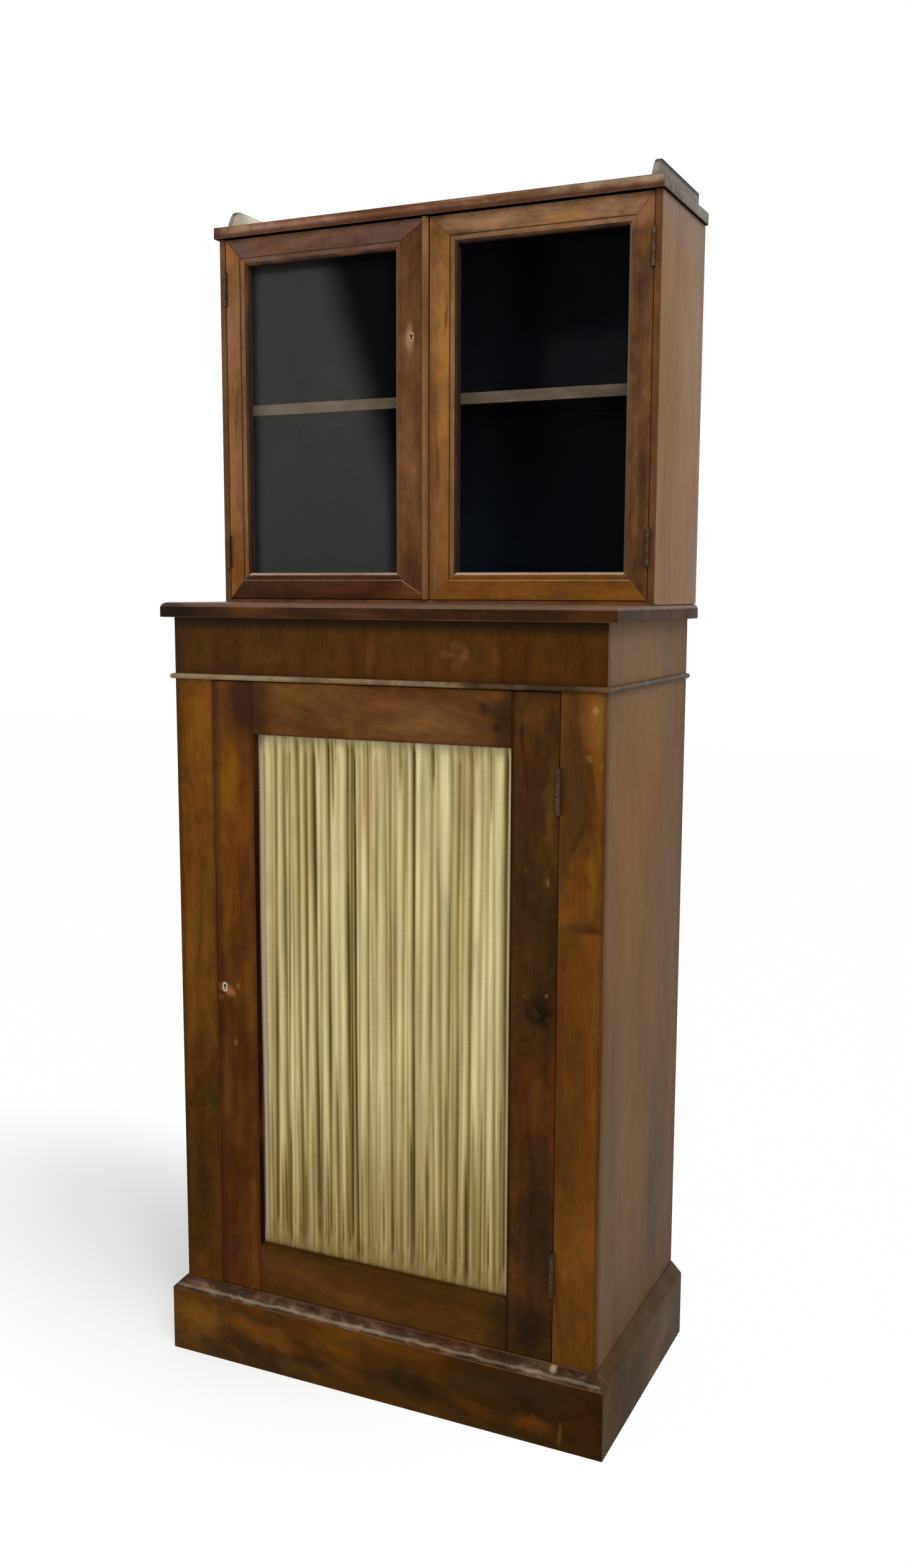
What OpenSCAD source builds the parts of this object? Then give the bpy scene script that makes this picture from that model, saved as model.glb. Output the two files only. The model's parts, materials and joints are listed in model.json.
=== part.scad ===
// Pier cabinet in two stages, in millimetres. The front faces -Y and the cabinet stands on Z = 0.
// The origin is at the middle of its footprint.

/* [Lower carcass] */
// Width of the lower carcass over its sides
low_w = 686; // [600:2:800]
// Depth of the lower carcass from face to back
low_d = 374; // [330:2:440]
// Height of the lower carcass up to the underside of its top
low_h = 1164; // [1000:4:1300]
// Thickness of each lower side board
low_side_t = 18; // [14:1:22]
// Width of each face stile beside the lower door
face_w = 65.5; // [55:0.5:80]
// Height of the frieze board above the lower door
frieze_h = 92; // [70:1:120]
// Thickness of the bottom board
low_bottom_t = 18; // [12:1:24]
// Thickness of the lower back board
low_back_t = 9; // [6:1:12]
// Depth of the grooves and rebates that hold the boards in the lower sides
housing = 6; // [3:0.5:8]
// Width of the lip behind the lower door
lip_w = 8; // [5:0.5:12]
// Thickness of the lip behind the lower door
lip_t = 15; // [10:1:20]

/* [Plinth] */
// How far the plinth stands out from the carcass
plinth_out = 18; // [14:1:24]
// Height of the plinth's flat face
plinth_h = 102; // [80:1:130]
// Height of the chamfer above that face
plinth_cap = 17; // [8:1:22]
// Width of the ledge left at the top of the chamfer
plinth_ledge = 2; // [1:0.5:4]

/* [Lower top] */
// Thickness of the lower top board
top_t = 22; // [16:1:30]
// How far the lower top stands out in front
top_front = 13; // [8:1:14]
// How far the lower top stands out past the upper carcass at each side
top_lip = 4; // [1:0.5:6]
// Radius of its rounded upper edge
top_round = 9; // [4:0.5:12]

/* [Frieze bead] */
// Height of the bead under the frieze
bead_h = 8; // [6:0.5:10]
// How far the bead stands out
bead_out = 6; // [5.5:0.5:8]

/* [Lower door] */
// Thickness of the lower door and of the face stiles beside it
door_t = 25; // [24:0.5:30]
// Width of the lower door's stiles
stile_w = 70; // [60:1:90]
// Height of the lower door's top rail
top_rail_h = 78; // [60:1:100]
// Height of the lower door's bottom rail
bottom_rail_h = 77; // [60:1:100]
// Gap all round the lower door
door_gap = 1.2; // [1:0.1:2]
// Length of the rails' tenons
tenon_l = 30; // [20:1:36]
// Thickness of the rails' tenons
tenon_t = 8; // [6:0.5:9]
// Width of the rebate behind the silk opening
rebate_w = 10; // [7:0.5:14]
// Depth of the silk's front behind the door's face
silk_depth = 12; // [10:0.5:13]

/* [Silk] */
// Number of pleats across the silk
pleat_count = 40; // [24:1:52]
// Depth of the pleats
pleat_d = 5; // [3:0.5:5.5]
// Thickness of the board behind the silk
silk_board_t = 3.5; // [2:0.5:3.5]
// Thickness of the beads that hold the silk
silk_bead_t = 2.5; // [2:0.5:3]

/* [Lower shelves] */
// Thickness of the lower shelves
low_shelf_t = 16; // [12:1:20]
// Height of the first shelf's underside above the floor
low_shelf_1 = 430; // [300:5:560]
// Height of the second shelf's underside above the floor
low_shelf_2 = 750; // [640:5:840]
// Height of the shelf bearers
bearer_h = 20; // [12:1:28]
// Thickness of the lower shelf bearers
bearer_t = 12; // [8:1:16]

/* [Upper carcass] */
// How far the upper carcass stands out past the lower one at each side
up_over = 12; // [2:1:16]
// Depth of the upper carcass from front to back
up_d = 218; // [180:2:280]
// Height of the upper side boards
up_h = 555; // [500:5:700]
// Thickness of each upper side board
up_side_t = 10; // [9:0.5:14]
// Thickness of the upper bottom board
up_bottom_t = 10; // [8:0.5:14]
// Height of the bottom board's step under the doors
up_step = 4.2; // [4:0.2:6]
// Thickness of the upper back board
up_back_t = 8; // [6:1:10]
// Depth of the rebates for the upper back board
up_housing = 5; // [3:0.5:6]
// Thickness of the upper top board
up_top_t = 17; // [12:1:24]
// How far the upper top stands out in front
up_top_front = 9; // [6:0.5:14]
// How far the upper top stands out at each side
up_top_side = 4.5; // [2:0.5:10]
// Thickness of the upper shelf
up_shelf_t = 17; // [12:1:20]
// Height of the upper shelf's underside above the upper sides' feet
up_shelf_z = 292; // [200:2:340]
// How far the shelf lies behind the upper doors
up_shelf_back = 20; // [12:1:40]
// Thickness of the upper shelf bearers
up_bearer_t = 9; // [6:1:12]

/* [Upper doors] */
// Thickness of the upper doors
frame_t = 20; // [19:0.5:24]
// Width of the upper doors' rails
frame_w = 40; // [36:1:50]
// Width of the stiles that carry the upper hinges
outer_w = 36; // [34:1:46]
// Distance from the middle of the upper case to each pane's sight edge
pane_in = 50.5; // [46:0.5:58]
// Gap round the upper doors
up_gap = 1.2; // [1:0.1:2]
// Gap between the two upper doors
meet_gap = 1.5; // [1.3:0.1:2.5]
// Width of the ovolo round the glass
ovolo_w = 9.5; // [6:0.5:12]
// Depth of the ovolo round the glass
ovolo_d = 6; // [4:0.5:7]
// Width of the quirk beside the ovolo
quirk = 1.5; // [1:0.25:2.5]
// Width of the rebate behind the glass edge
glass_rebate = 8; // [5:0.5:9]
// Thickness of the glass
glass_t = 3; // [2:0.5:3.5]
// Thickness of the glazing beads
glazing_t = 6; // [4:0.5:6.5]
// Width of the meeting bead
meet_w = 11; // [8:0.5:14]
// How far the meeting bead stands out
meet_out = 5; // [3.5:0.5:5.5]

/* [Gallery] */
// Height of the gallery strips
gallery_h = 30; // [20:1:50]
// Thickness of the gallery strips
gallery_t = 8; // [5:0.5:12]
// How far the gallery lies inside the upper sides
gallery_in = 11; // [4:1:30]
// How far the gallery starts behind the upper top's front edge
gallery_start = 16; // [8:1:40]
// Length of the gallery's raked front ends
gallery_rake = 24; // [12:1:50]

/* [Hinges] */
// Length of the lower hinges
low_hinge_l = 63.5; // [50:0.5:76]
// Radius of the lower hinges' knuckles
low_hinge_r = 4; // [3.5:0.25:4.5]
// Width of the lower hinge leaves
low_leaf_w = 20; // [16:0.5:21]
// Distance from the lower door's ends to its hinges
low_hinge_in = 101; // [80:1:150]
// Length of the upper hinges
up_hinge_l = 50.8; // [38:0.2:60]
// Radius of the upper hinges' knuckles
up_hinge_r = 3; // [2.75:0.25:3.5]
// Width of the upper hinge leaves
up_leaf_w = 15; // [12:0.5:16]
// Distance from the upper doors' ends to their hinges
up_hinge_in = 48; // [42:1:90]
// Thickness of the hinge leaves
leaf_t = 1.6; // [1.2:0.1:2]
// Radius of the hinge pins
pin_r = 1.4; // [1.2:0.1:1.5]

/* [Locks and bolts] */
// Height of the lower keyhole above the floor
low_key_z = 602; // [500:2:720]
// Height of the upper keyhole above the upper sides' feet
up_key_z = 387; // [300:2:440]
// Distance from the lower door's edge to its keyhole
low_key_in = 12.5; // [11:0.5:18]
// Distance from the left door's edge to its keyhole
up_key_in = 28; // [26:0.5:29]
// Width of the lower lock case
low_lock_w = 32; // [28:1:40]
// Height of the lower lock case
low_lock_h = 56; // [44:1:70]
// Thickness of the lower lock case
low_lock_t = 11; // [9:0.5:12]
// Width of the upper lock case
up_lock_w = 36; // [34:0.5:38]
// Height of the upper lock case
up_lock_h = 38; // [30:1:50]
// Thickness of the upper lock case
up_lock_t = 9; // [8:0.5:9]
// Travel of the lower lock bolt
low_throw = 8; // [5:0.5:9]
// Travel of the upper lock bolt
up_throw = 5; // [4:0.5:6]
// Travel of the two edge bolts
edge_throw = 4.6; // [4:0.2:5]
// Length of the edge bolts
edge_bolt_l = 60; // [45:1:90]
// Width of an escutcheon
plate_w = 9; // [7:0.5:11]
// Height of an escutcheon
plate_h = 15; // [12:0.5:18]

/* [Hidden] */

rosewood = [0.30, 0.17, 0.09];
rosewood_side = [0.42, 0.31, 0.23];
dark_inside = [0.20, 0.13, 0.09];
pine = [0.55, 0.42, 0.28];
brass = [0.72, 0.58, 0.33];
steel = [0.45, 0.44, 0.42];
silk = [0.76, 0.72, 0.50];
pane = [0.55, 0.62, 0.62, 0.35];

slip = 0.1;        // clearance of a piece let into wood
loose = 0.4;       // clearance round a bolt in its keeper or mortise
soft_gap = 0.3;    // clearance on the silk and behind the doors
sheet_gap = 0.5;   // clearance round a sheet in its rebate
run = 0.05;        // radial clearance of a hinge pin
over = 1;          // how far a cutting shape runs past a face
tenon_inset = 12;  // shoulder above and below a tenon
tenon_cover = 2;   // wood in front of a tenon, behind the silk's front
glass_lip = 2;     // wood between the ovolo and the glass
ovolo_sink = 0.4;  // how far the ovolo starts in front of the quirk's floor
bead_set = 1;      // how far a glazing bead lies inside the sight edge
$fn = 48;

// Levels and planes that several pieces share
front_y = (plinth_out - low_d) / 2;
back_y = (plinth_out + low_d) / 2;
low_in = low_w / 2 - low_side_t;
door_side = low_w / 2 - face_w;
door_edge = door_side - door_gap;
floor_z = plinth_h + plinth_cap;
frieze_z = low_h - frieze_h;
door_z0 = floor_z + door_gap;
door_z1 = frieze_z - door_gap;
lip_y = front_y + door_t + lip_t;
open_x = door_edge - stile_w;
top_z = low_h + top_t;
top_side = up_over + top_lip;
up_w = low_w + 2 * up_over;

up_front = back_y - up_d;
up_in = up_w / 2 - up_side_t;
up_top_z = top_z + up_h;
up_door_x = up_in - up_gap;
up_door_z0 = top_z + up_step + up_gap;
up_door_z1 = up_top_z - up_gap;
up_back = up_front + frame_t + soft_gap;
meet_x = meet_w / 2;
left_x = [-up_door_x, meet_x];
right_x = [meet_x + meet_gap, up_door_x];
left_stiles = [outer_w, pane_in + meet_x];
right_stiles = [pane_in - meet_x - meet_gap, outer_w];
shelf_y = up_front + frame_t + up_shelf_back;
gallery_x = up_w / 2 - gallery_in;
gallery_y = up_front - up_top_front + gallery_start;

// Hinge axes: half way across the gap, and just proud of the face
proud = 0.3;
low_axis = [door_side - door_gap / 2, front_y - low_hinge_r - proud];
up_axis = [up_in - up_gap / 2, up_front - up_hinge_r - proud];
low_hinges = [door_z0 + low_hinge_in + low_hinge_l / 2, door_z1 - low_hinge_in - low_hinge_l / 2];
up_hinges = [up_door_z0 + up_hinge_in + up_hinge_l / 2, up_door_z1 - up_hinge_in - up_hinge_l / 2];
knuckle_gap = 0.2;
low_screws = [-0.36, 0, 0.36];
up_screws = [-0.34, 0.34];
screw_r = 1.5;
head_r = 2.9;
low_screw_l = 14;
up_screw_l = 7;

// Locks
low_bolt = [24, 5, 12];
up_bolt = [27, 4, 9];
keeper = [1.2, 10, 34];
low_bolt_y = front_y + door_t - low_lock_t / 2;
up_bolt_y = up_front + frame_t - up_lock_t / 2;
up_lock_z = top_z + up_key_z;
tip_in = 0.3;      // how far a bolt's end lies inside the edge at rest
key_r = 2.1;
key_slot = [2, 6];
key_rise = 2;      // how far the keyhole's round end lies above its middle
plate_t = 1.4;
plate_proud = 0.4;
edge_bar = [3, 6];
plate_extra = 20;  // how much longer than its bolt an edge plate is
edge_plate = [1.2, 11, edge_bolt_l + plate_extra];
edge_slot = [4, 16];
catch_room = 1;    // spare room at each end of the thumb catch's travel
edge_y = up_front + frame_t / 2;

module between(low, high) {
  translate(low) cube(high - low);
}

module mirrored_x(side) {
  mirror([side < 0 ? 1 : 0, 0, 0]) children();
}

// A bar along X whose outline is drawn with Y across and Z up
module along_x(length) {
  rotate([90, 0, 90]) linear_extrude(length) children();
}

// A bar along Y whose outline is drawn with X across and Z up
module along_y(length) {
  translate([0, length, 0]) rotate([90, 0, 0]) linear_extrude(length) children();
}

// Lower carcass

module lower_side(side) {
  color(rosewood_side) mirrored_x(side) difference() {
    between([low_in, front_y + door_t, 0], [low_w / 2, back_y, low_h]);
    between([low_in - over, lip_y, floor_z - low_bottom_t],
            [low_in + housing, back_y - low_back_t, floor_z]);
    between([low_in - over, back_y - low_back_t, -over],
            [low_in + housing, back_y + over, low_h + over]);
  }
}

module lower_bottom_board() {
  color(dark_inside) translate([0, 0, floor_z - low_bottom_t]) linear_extrude(low_bottom_t) {
    translate([-door_side, front_y]) square([2 * door_side, door_t]);
    translate([lip_w - door_side, front_y + door_t]) square([2 * (door_side - lip_w), lip_t]);
    translate([-low_in - housing, lip_y])
      square([2 * (low_in + housing), back_y - low_back_t - lip_y]);
  }
}

module lower_back_board() {
  color(pine) between([-low_in - housing, back_y - low_back_t, floor_z - low_bottom_t],
                      [low_in + housing, back_y, low_h]);
}

// One face stile with the lip that the door closes against, drawn on the right
module stile_outline() {
  polygon([[door_side, front_y], [low_w / 2, front_y], [low_w / 2, front_y + door_t],
           [low_in, front_y + door_t], [low_in, lip_y], [door_side - lip_w, lip_y],
           [door_side - lip_w, front_y + door_t + soft_gap],
           [door_side, front_y + door_t + soft_gap]]);
}

module left_face_stile() {
  color(rosewood) difference() {
    mirror([1, 0, 0]) linear_extrude(frieze_z) stile_outline();
    keeper_place(slip);
    low_bolt_way(low_throw + over);
  }
}

module right_face_stile() {
  color(rosewood) difference() {
    linear_extrude(frieze_z) stile_outline();
    for (z = low_hinges) translate([low_axis[0], low_axis[1], z]) {
      leaf_recess(low_hinge_l, low_hinge_r, low_leaf_w, door_gap);
      screw_holes(low_hinge_l, low_hinge_r, low_leaf_w, door_gap, low_screws, low_screw_l);
    }
  }
}

module frieze_board() {
  color(rosewood) between([-low_w / 2, front_y, frieze_z], [low_w / 2, front_y + door_t, low_h]);
}

// Board outline with its upper corner rounded at one end, or at both
module nosed(length, both) {
  difference() {
    square([length, top_t]);
    nose_cut();
    if (both) translate([length, 0]) mirror([1, 0]) nose_cut();
  }
}

module nose_cut() {
  translate([0, top_t - top_round]) difference() {
    translate([-over, 0]) square([top_round + over, top_round + over]);
    translate([top_round, 0]) circle(top_round);
    translate([top_round, -top_round]) square(2 * top_round);
  }
}

module lower_top_board() {
  width = low_w + 2 * top_side;
  depth = low_d + top_front;
  color(rosewood) translate([-width / 2, front_y - top_front, low_h]) intersection() {
    along_x(width) nosed(depth, false);
    along_y(depth) nosed(width, true);
  }
}

// The plinth's outline: X runs out from the carcass
module plinth_outline() {
  polygon([[0, 0], [plinth_out, 0], [plinth_out, plinth_h], [plinth_ledge, floor_z], [0, floor_z]]);
}

// What lies between the mitre lines in front of the carcass
module front_wedge(out, height) {
  linear_extrude(height) polygon([[-low_w / 2 - out, front_y - out], [low_w / 2 + out, front_y - out],
                                  [low_w / 2, front_y], [-low_w / 2, front_y]]);
}

// What lies between the mitre line and the back, beside the carcass on the right
module side_wedge(out, height) {
  linear_extrude(height)
    polygon([[low_w / 2, front_y + slip], [low_w / 2 + out, front_y - out + slip],
             [low_w / 2 + out, back_y], [low_w / 2, back_y]]);
}

module plinth_front() {
  color(rosewood) intersection() {
    front_wedge(plinth_out, floor_z);
    translate([-low_w, front_y, 0]) along_x(2 * low_w) mirror([1, 0]) plinth_outline();
  }
}

module plinth_return(side) {
  color(rosewood_side) mirrored_x(side) intersection() {
    side_wedge(plinth_out, floor_z);
    translate([low_w / 2, -low_d, 0]) along_y(2 * low_d) plinth_outline();
  }
}

// The bead's outline: X runs out from the carcass
module bead_outline() {
  square([bead_out - bead_h / 2, bead_h]);
  translate([bead_out - bead_h / 2, bead_h / 2]) intersection() {
    circle(bead_h / 2);
    translate([0, -bead_h / 2]) square(bead_h);
  }
}

module frieze_bead() {
  color(rosewood) translate([0, 0, frieze_z]) {
    intersection() {
      front_wedge(bead_out, bead_h);
      translate([-low_w, front_y, 0]) along_x(2 * low_w) mirror([1, 0]) bead_outline();
    }
    for (side = [-1, 1]) mirrored_x(side) intersection() {
      side_wedge(bead_out, bead_h);
      translate([low_w / 2, -low_d, 0]) along_y(2 * low_d) bead_outline();
    }
  }
}

module lower_shelves() {
  color(pine) for (z = [low_shelf_1, low_shelf_2])
    between([-low_in, lip_y, z], [low_in, back_y - low_back_t, z + low_shelf_t]);
}

module shelf_bearers() {
  color(pine) for (side = [-1, 1]) mirrored_x(side) {
    for (z = [low_shelf_1, low_shelf_2])
      between([low_in - bearer_t, lip_y, z - bearer_h], [low_in, back_y - low_back_t, z]);
    between([up_in - up_bearer_t, shelf_y, top_z + up_shelf_z - bearer_h],
            [up_in, back_y - up_back_t, top_z + up_shelf_z]);
  }
}

module keeper_place(clearance) {
  between([-door_side - keeper[0], low_bolt_y - keeper[1] / 2 - clearance,
           low_key_z - keeper[2] / 2 - clearance],
          [-door_side + (clearance > 0 ? over : 0), low_bolt_y + keeper[1] / 2 + clearance,
           low_key_z + keeper[2] / 2 + clearance]);
}

// The way of the lower bolt into the left stile
module low_bolt_way(depth) {
  between([-door_side - depth, low_bolt_y - low_bolt[1] / 2 - loose, low_key_z - low_bolt[2] / 2 - loose],
          [over - door_side, low_bolt_y + low_bolt[1] / 2 + loose, low_key_z + low_bolt[2] / 2 + loose]);
}

module lower_lock_keeper() {
  color(brass) difference() {
    keeper_place(0);
    low_bolt_way(keeper[0] + over);
  }
}

// Lower door

module lower_door_stile(side) {
  mirrored_x(side) translate([0, 0, door_z0]) linear_extrude(door_z1 - door_z0)
    polygon([[open_x, front_y], [door_edge, front_y], [door_edge, front_y + door_t],
             [open_x + rebate_w, front_y + door_t], [open_x + rebate_w, front_y + silk_depth],
             [open_x, front_y + silk_depth]]);
}

// Both tenons of a rail whose solid part behind the rebate lies between two levels
module tenons(z0, z1, clearance) {
  reach = open_x + rebate_w + tenon_l + clearance;
  y0 = front_y + silk_depth + tenon_cover;
  between([-reach, y0 - clearance, z0 + tenon_inset - clearance],
          [reach, y0 + tenon_t + clearance, z1 - tenon_inset + clearance]);
}

module rail_mortises() {
  tenons(door_z0, door_z0 + bottom_rail_h - rebate_w, slip);
  tenons(door_z1 - top_rail_h + rebate_w, door_z1, slip);
}

module lower_door_left_stile() {
  color(rosewood) difference() {
    lower_door_stile(-1);
    rail_mortises();
    lock_pocket(-door_edge, 1, front_y + door_t, low_key_z, [low_lock_w, low_lock_t, low_lock_h]);
    keyhole(low_key_in - door_edge, low_key_z, front_y - over, door_t);
    translate([low_key_in - door_edge, front_y + plate_t - plate_proud, low_key_z])
      plate_blank(plate_t + over, slip);
  }
}

module lower_door_right_stile() {
  color(rosewood) difference() {
    lower_door_stile(1);
    rail_mortises();
    for (z = low_hinges) translate([low_axis[0], low_axis[1], z]) mirror([1, 0, 0]) {
      leaf_recess(low_hinge_l, low_hinge_r, low_leaf_w, door_gap);
      screw_holes(low_hinge_l, low_hinge_r, low_leaf_w, door_gap, low_screws, low_screw_l);
    }
  }
}

// A rail from its outer edge to the opening, with its rebate towards the opening
module lower_rail(z_out, z_in) {
  z_rebate = z_in > z_out ? z_in - rebate_w : z_in + rebate_w;
  between([-open_x, front_y, min(z_out, z_in)], [open_x, front_y + silk_depth, max(z_out, z_in)]);
  between([-open_x - rebate_w, front_y + silk_depth, min(z_out, z_rebate)],
          [open_x + rebate_w, front_y + door_t, max(z_out, z_rebate)]);
  tenons(min(z_out, z_rebate), max(z_out, z_rebate), 0);
}

module lower_door_top_rail() {
  color(rosewood) lower_rail(door_z1, door_z1 - top_rail_h);
}

module lower_door_bottom_rail() {
  color(rosewood) lower_rail(door_z0, door_z0 + bottom_rail_h);
}

// Room for the silk and its board in the door's rebate
rebate_x = open_x + rebate_w;
rebate_z = [door_z0 + bottom_rail_h - rebate_w, door_z1 - top_rail_h + rebate_w];
panel_x = rebate_x - sheet_gap;
panel_z = [rebate_z[0] + sheet_gap, rebate_z[1] - sheet_gap];
silk_y = front_y + silk_depth + soft_gap;
silk_back = front_y + door_t - silk_bead_t - silk_board_t - soft_gap;

// Pleats gathered by hand are uneven: each one's share of the width, and how deep it lies
function pleat_share(i) = 1 + 0.3 * sin(137 * i) + 0.25 * sin(61 * i + 40);
function share_sum(n) = n == 0 ? 0 : share_sum(n - 1) + pleat_share(n - 1);
function pleat_x(i) = panel_x * (2 * share_sum(i) / share_sum(pleat_count) - 1);
function pleat_drop(i) = pleat_d * (0.8 + 0.2 * sin(97 * i));

module silk_panel() {
  crest = [for (i = [0:pleat_count - 1], k = [0:3])
    let (x0 = pleat_x(i), x1 = pleat_x(i + 1), step = (k + 0.1) / 4)
    [x0 + step * (x1 - x0), silk_y + pow(cos(180 * step), 2) * pleat_drop(i)]];
  color(silk) translate([0, 0, panel_z[0]]) linear_extrude(panel_z[1] - panel_z[0])
    polygon(concat([[-panel_x, silk_back]], crest, [[panel_x, silk_back]]));
}

module silk_board() {
  color(pine) between([-panel_x, front_y + door_t - silk_bead_t - silk_board_t, panel_z[0]],
                      [panel_x, front_y + door_t - silk_bead_t, panel_z[1]]);
}

// Four strips round the inside of a rebate, the upright ones between the others
module strips(x, y, z, width) {
  color(rosewood) {
    between([x[0], y[0], z[0]], [x[1], y[1], z[0] + width]);
    between([x[0], y[0], z[1] - width], [x[1], y[1], z[1]]);
    between([x[0], y[0], z[0] + width + slip], [x[0] + width, y[1], z[1] - width - slip]);
    between([x[1] - width, y[0], z[0] + width + slip], [x[1], y[1], z[1] - width - slip]);
  }
}

module silk_beads() {
  back = front_y + door_t;
  strips([-rebate_x, rebate_x], [back - silk_bead_t, back], rebate_z, rebate_w - bead_set);
}

// Locks. A case of the given width, thickness and height lies flush with a door's edge and back.

module lock_pocket(edge, inward, back, z, size) {
  translate([edge, back, z]) mirrored_x(inward)
    between([-over, -size[1] - slip, -size[2] / 2 - slip], [size[0] + slip, over, size[2] / 2 + slip]);
}

module lock_case(edge, inward, back, z, size, bolt, key_in) {
  color(brass) difference() {
    translate([edge, back, z]) mirrored_x(inward) difference() {
      between([0, -size[1], -size[2] / 2], [size[0], 0, size[2] / 2]);
      between([-over, -size[1] / 2 - bolt[1] / 2 - slip, -bolt[2] / 2 - slip],
              [tip_in + bolt[0] + slip, -size[1] / 2 + bolt[1] / 2 + slip, bolt[2] / 2 + slip]);
    }
    keyhole(edge + inward * key_in, z, back - size[1] - over, (size[1] - bolt[1]) / 2 + over);
  }
}

module lower_lock_case() {
  size = [low_lock_w, low_lock_t, low_lock_h];
  lock_case(-door_edge, 1, front_y + door_t, low_key_z, size, low_bolt, low_key_in);
}

module upper_lock_case() {
  size = [up_lock_w, up_lock_t, up_lock_h];
  lock_case(left_x[1], -1, up_front + frame_t, up_lock_z, size, up_bolt, up_key_in);
}

module lock_bolt(edge, inward, y, z, bolt) {
  color(brass) translate([edge, y, z]) mirrored_x(inward)
    between([tip_in, -bolt[1] / 2, -bolt[2] / 2], [tip_in + bolt[0], bolt[1] / 2, bolt[2] / 2]);
}

module keyhole(x, z, y, depth) {
  translate([x, y, z]) {
    translate([0, 0, key_rise]) rotate([-90, 0, 0]) cylinder(depth, key_r, key_r);
    between([-key_slot[0] / 2, 0, key_rise - key_slot[1]], [key_slot[0] / 2, depth, key_rise]);
  }
}

// An upright plate with round ends. Its front face is nearest -Y.
module plate_blank(thickness, clearance) {
  r = plate_w / 2 + clearance;
  rotate([90, 0, 0]) linear_extrude(thickness) {
    for (end = [-1, 1]) translate([0, end * (plate_h - plate_w) / 2]) circle(r);
    square([2 * r, plate_h - plate_w], center = true);
  }
}

module escutcheon(x, z, y) {
  color(brass) difference() {
    translate([x, y + plate_t - plate_proud, z]) plate_blank(plate_t, 0);
    keyhole(x, z, y - over, 2 * over + plate_t);
  }
}

// Butt hinges. The axis is Z, the fixed leaf lies on +X, and +Y runs into the wood.

module leaf_recess(length, r, width, gap) {
  between([gap / 2 - over, r + proud - over, -length / 2 - slip],
          [gap / 2 + leaf_t, r + proud + width + slip, length / 2 + slip]);
}

module screw_line(length, r, width, gap, places) {
  for (place = places)
    translate([gap / 2, r + proud + width * 0.55, place * length]) rotate([0, 90, 0]) children();
}

module screw_shape(length, clearance) {
  shank_r = screw_r + clearance;
  cylinder(leaf_t, head_r + clearance, shank_r);
  translate([0, 0, leaf_t - clearance]) cylinder(length - leaf_t + clearance, shank_r, shank_r);
}

module screw_holes(length, r, width, gap, places, screw_l) {
  screw_line(length, r, width, gap, places) screw_shape(screw_l + slip, run);
}

module screws(length, r, width, gap, places, screw_l) {
  color(steel) screw_line(length, r, width, gap, places) screw_shape(screw_l, 0);
}

// The leaf with knuckles 0, 2 and 4, or the one with knuckles 1 and 3
module hinge_leaf(length, r, width, gap, places, fixed) {
  step = length / 5;
  color(brass) difference() {
    union() {
      between([gap / 2, r + proud + slip, -length / 2], [gap / 2 + leaf_t, r + proud + width, length / 2]);
      for (i = fixed ? [0, 2, 4] : [1, 3]) translate([0, 0, -length / 2 + i * step + knuckle_gap / 2]) {
        cylinder(step - knuckle_gap, r, r);
        between([gap / 2, 0, 0], [gap / 2 + leaf_t, r + proud + 2 * slip, step - knuckle_gap]);
      }
    }
    translate([0, 0, -length / 2 - over]) cylinder(length + 2 * over, pin_r + run, pin_r + run);
    screw_line(length, r, width, gap, places) {
      cylinder(leaf_t, head_r + run, screw_r + run);
      translate([0, 0, -over]) cylinder(over + slip / 10, head_r + run, head_r + run);
      translate([0, 0, leaf_t - slip]) cylinder(over, screw_r + run, screw_r + run);
    }
  }
}

module at_up_hinges(side) {
  for (z = up_hinges) mirrored_x(side) translate([up_axis[0], up_axis[1], z]) children();
}

module hinge_frame_leaves() {
  for (z = low_hinges) translate([low_axis[0], low_axis[1], z])
    hinge_leaf(low_hinge_l, low_hinge_r, low_leaf_w, door_gap, low_screws, true);
  for (side = [-1, 1]) at_up_hinges(side)
    hinge_leaf(up_hinge_l, up_hinge_r, up_leaf_w, up_gap, up_screws, true);
}

module hinge_pins() {
  color(brass) {
    for (z = low_hinges) translate([low_axis[0], low_axis[1], z - low_hinge_l / 2])
      cylinder(low_hinge_l, pin_r, pin_r);
    for (side = [-1, 1]) at_up_hinges(side)
      translate([0, 0, -up_hinge_l / 2]) cylinder(up_hinge_l, pin_r, pin_r);
  }
}

module carcass_hinge_screws() {
  for (z = low_hinges) translate([low_axis[0], low_axis[1], z])
    screws(low_hinge_l, low_hinge_r, low_leaf_w, door_gap, low_screws, low_screw_l);
  for (side = [-1, 1]) at_up_hinges(side)
    screws(up_hinge_l, up_hinge_r, up_leaf_w, up_gap, up_screws, up_screw_l);
}

module lower_door_hinge_leaves() {
  for (z = low_hinges) translate([low_axis[0], low_axis[1], z]) mirror([1, 0, 0])
    hinge_leaf(low_hinge_l, low_hinge_r, low_leaf_w, door_gap, low_screws, false);
}

module lower_door_screws() {
  for (z = low_hinges) translate([low_axis[0], low_axis[1], z]) mirror([1, 0, 0])
    screws(low_hinge_l, low_hinge_r, low_leaf_w, door_gap, low_screws, low_screw_l);
}

module upper_door_hinge_leaves(side) {
  at_up_hinges(side) mirror([1, 0, 0])
    hinge_leaf(up_hinge_l, up_hinge_r, up_leaf_w, up_gap, up_screws, false);
}

// Upper carcass

module upper_side(side) {
  color(rosewood_side) difference() {
    mirrored_x(side) between([up_in, up_front, top_z], [up_w / 2, back_y, up_top_z]);
    mirrored_x(side) between([up_in - over, back_y - up_back_t, top_z - over],
                             [up_in + up_housing, back_y + over, up_top_z + over]);
    at_up_hinges(side) {
      leaf_recess(up_hinge_l, up_hinge_r, up_leaf_w, up_gap);
      screw_holes(up_hinge_l, up_hinge_r, up_leaf_w, up_gap, up_screws, up_screw_l);
    }
  }
}

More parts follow.
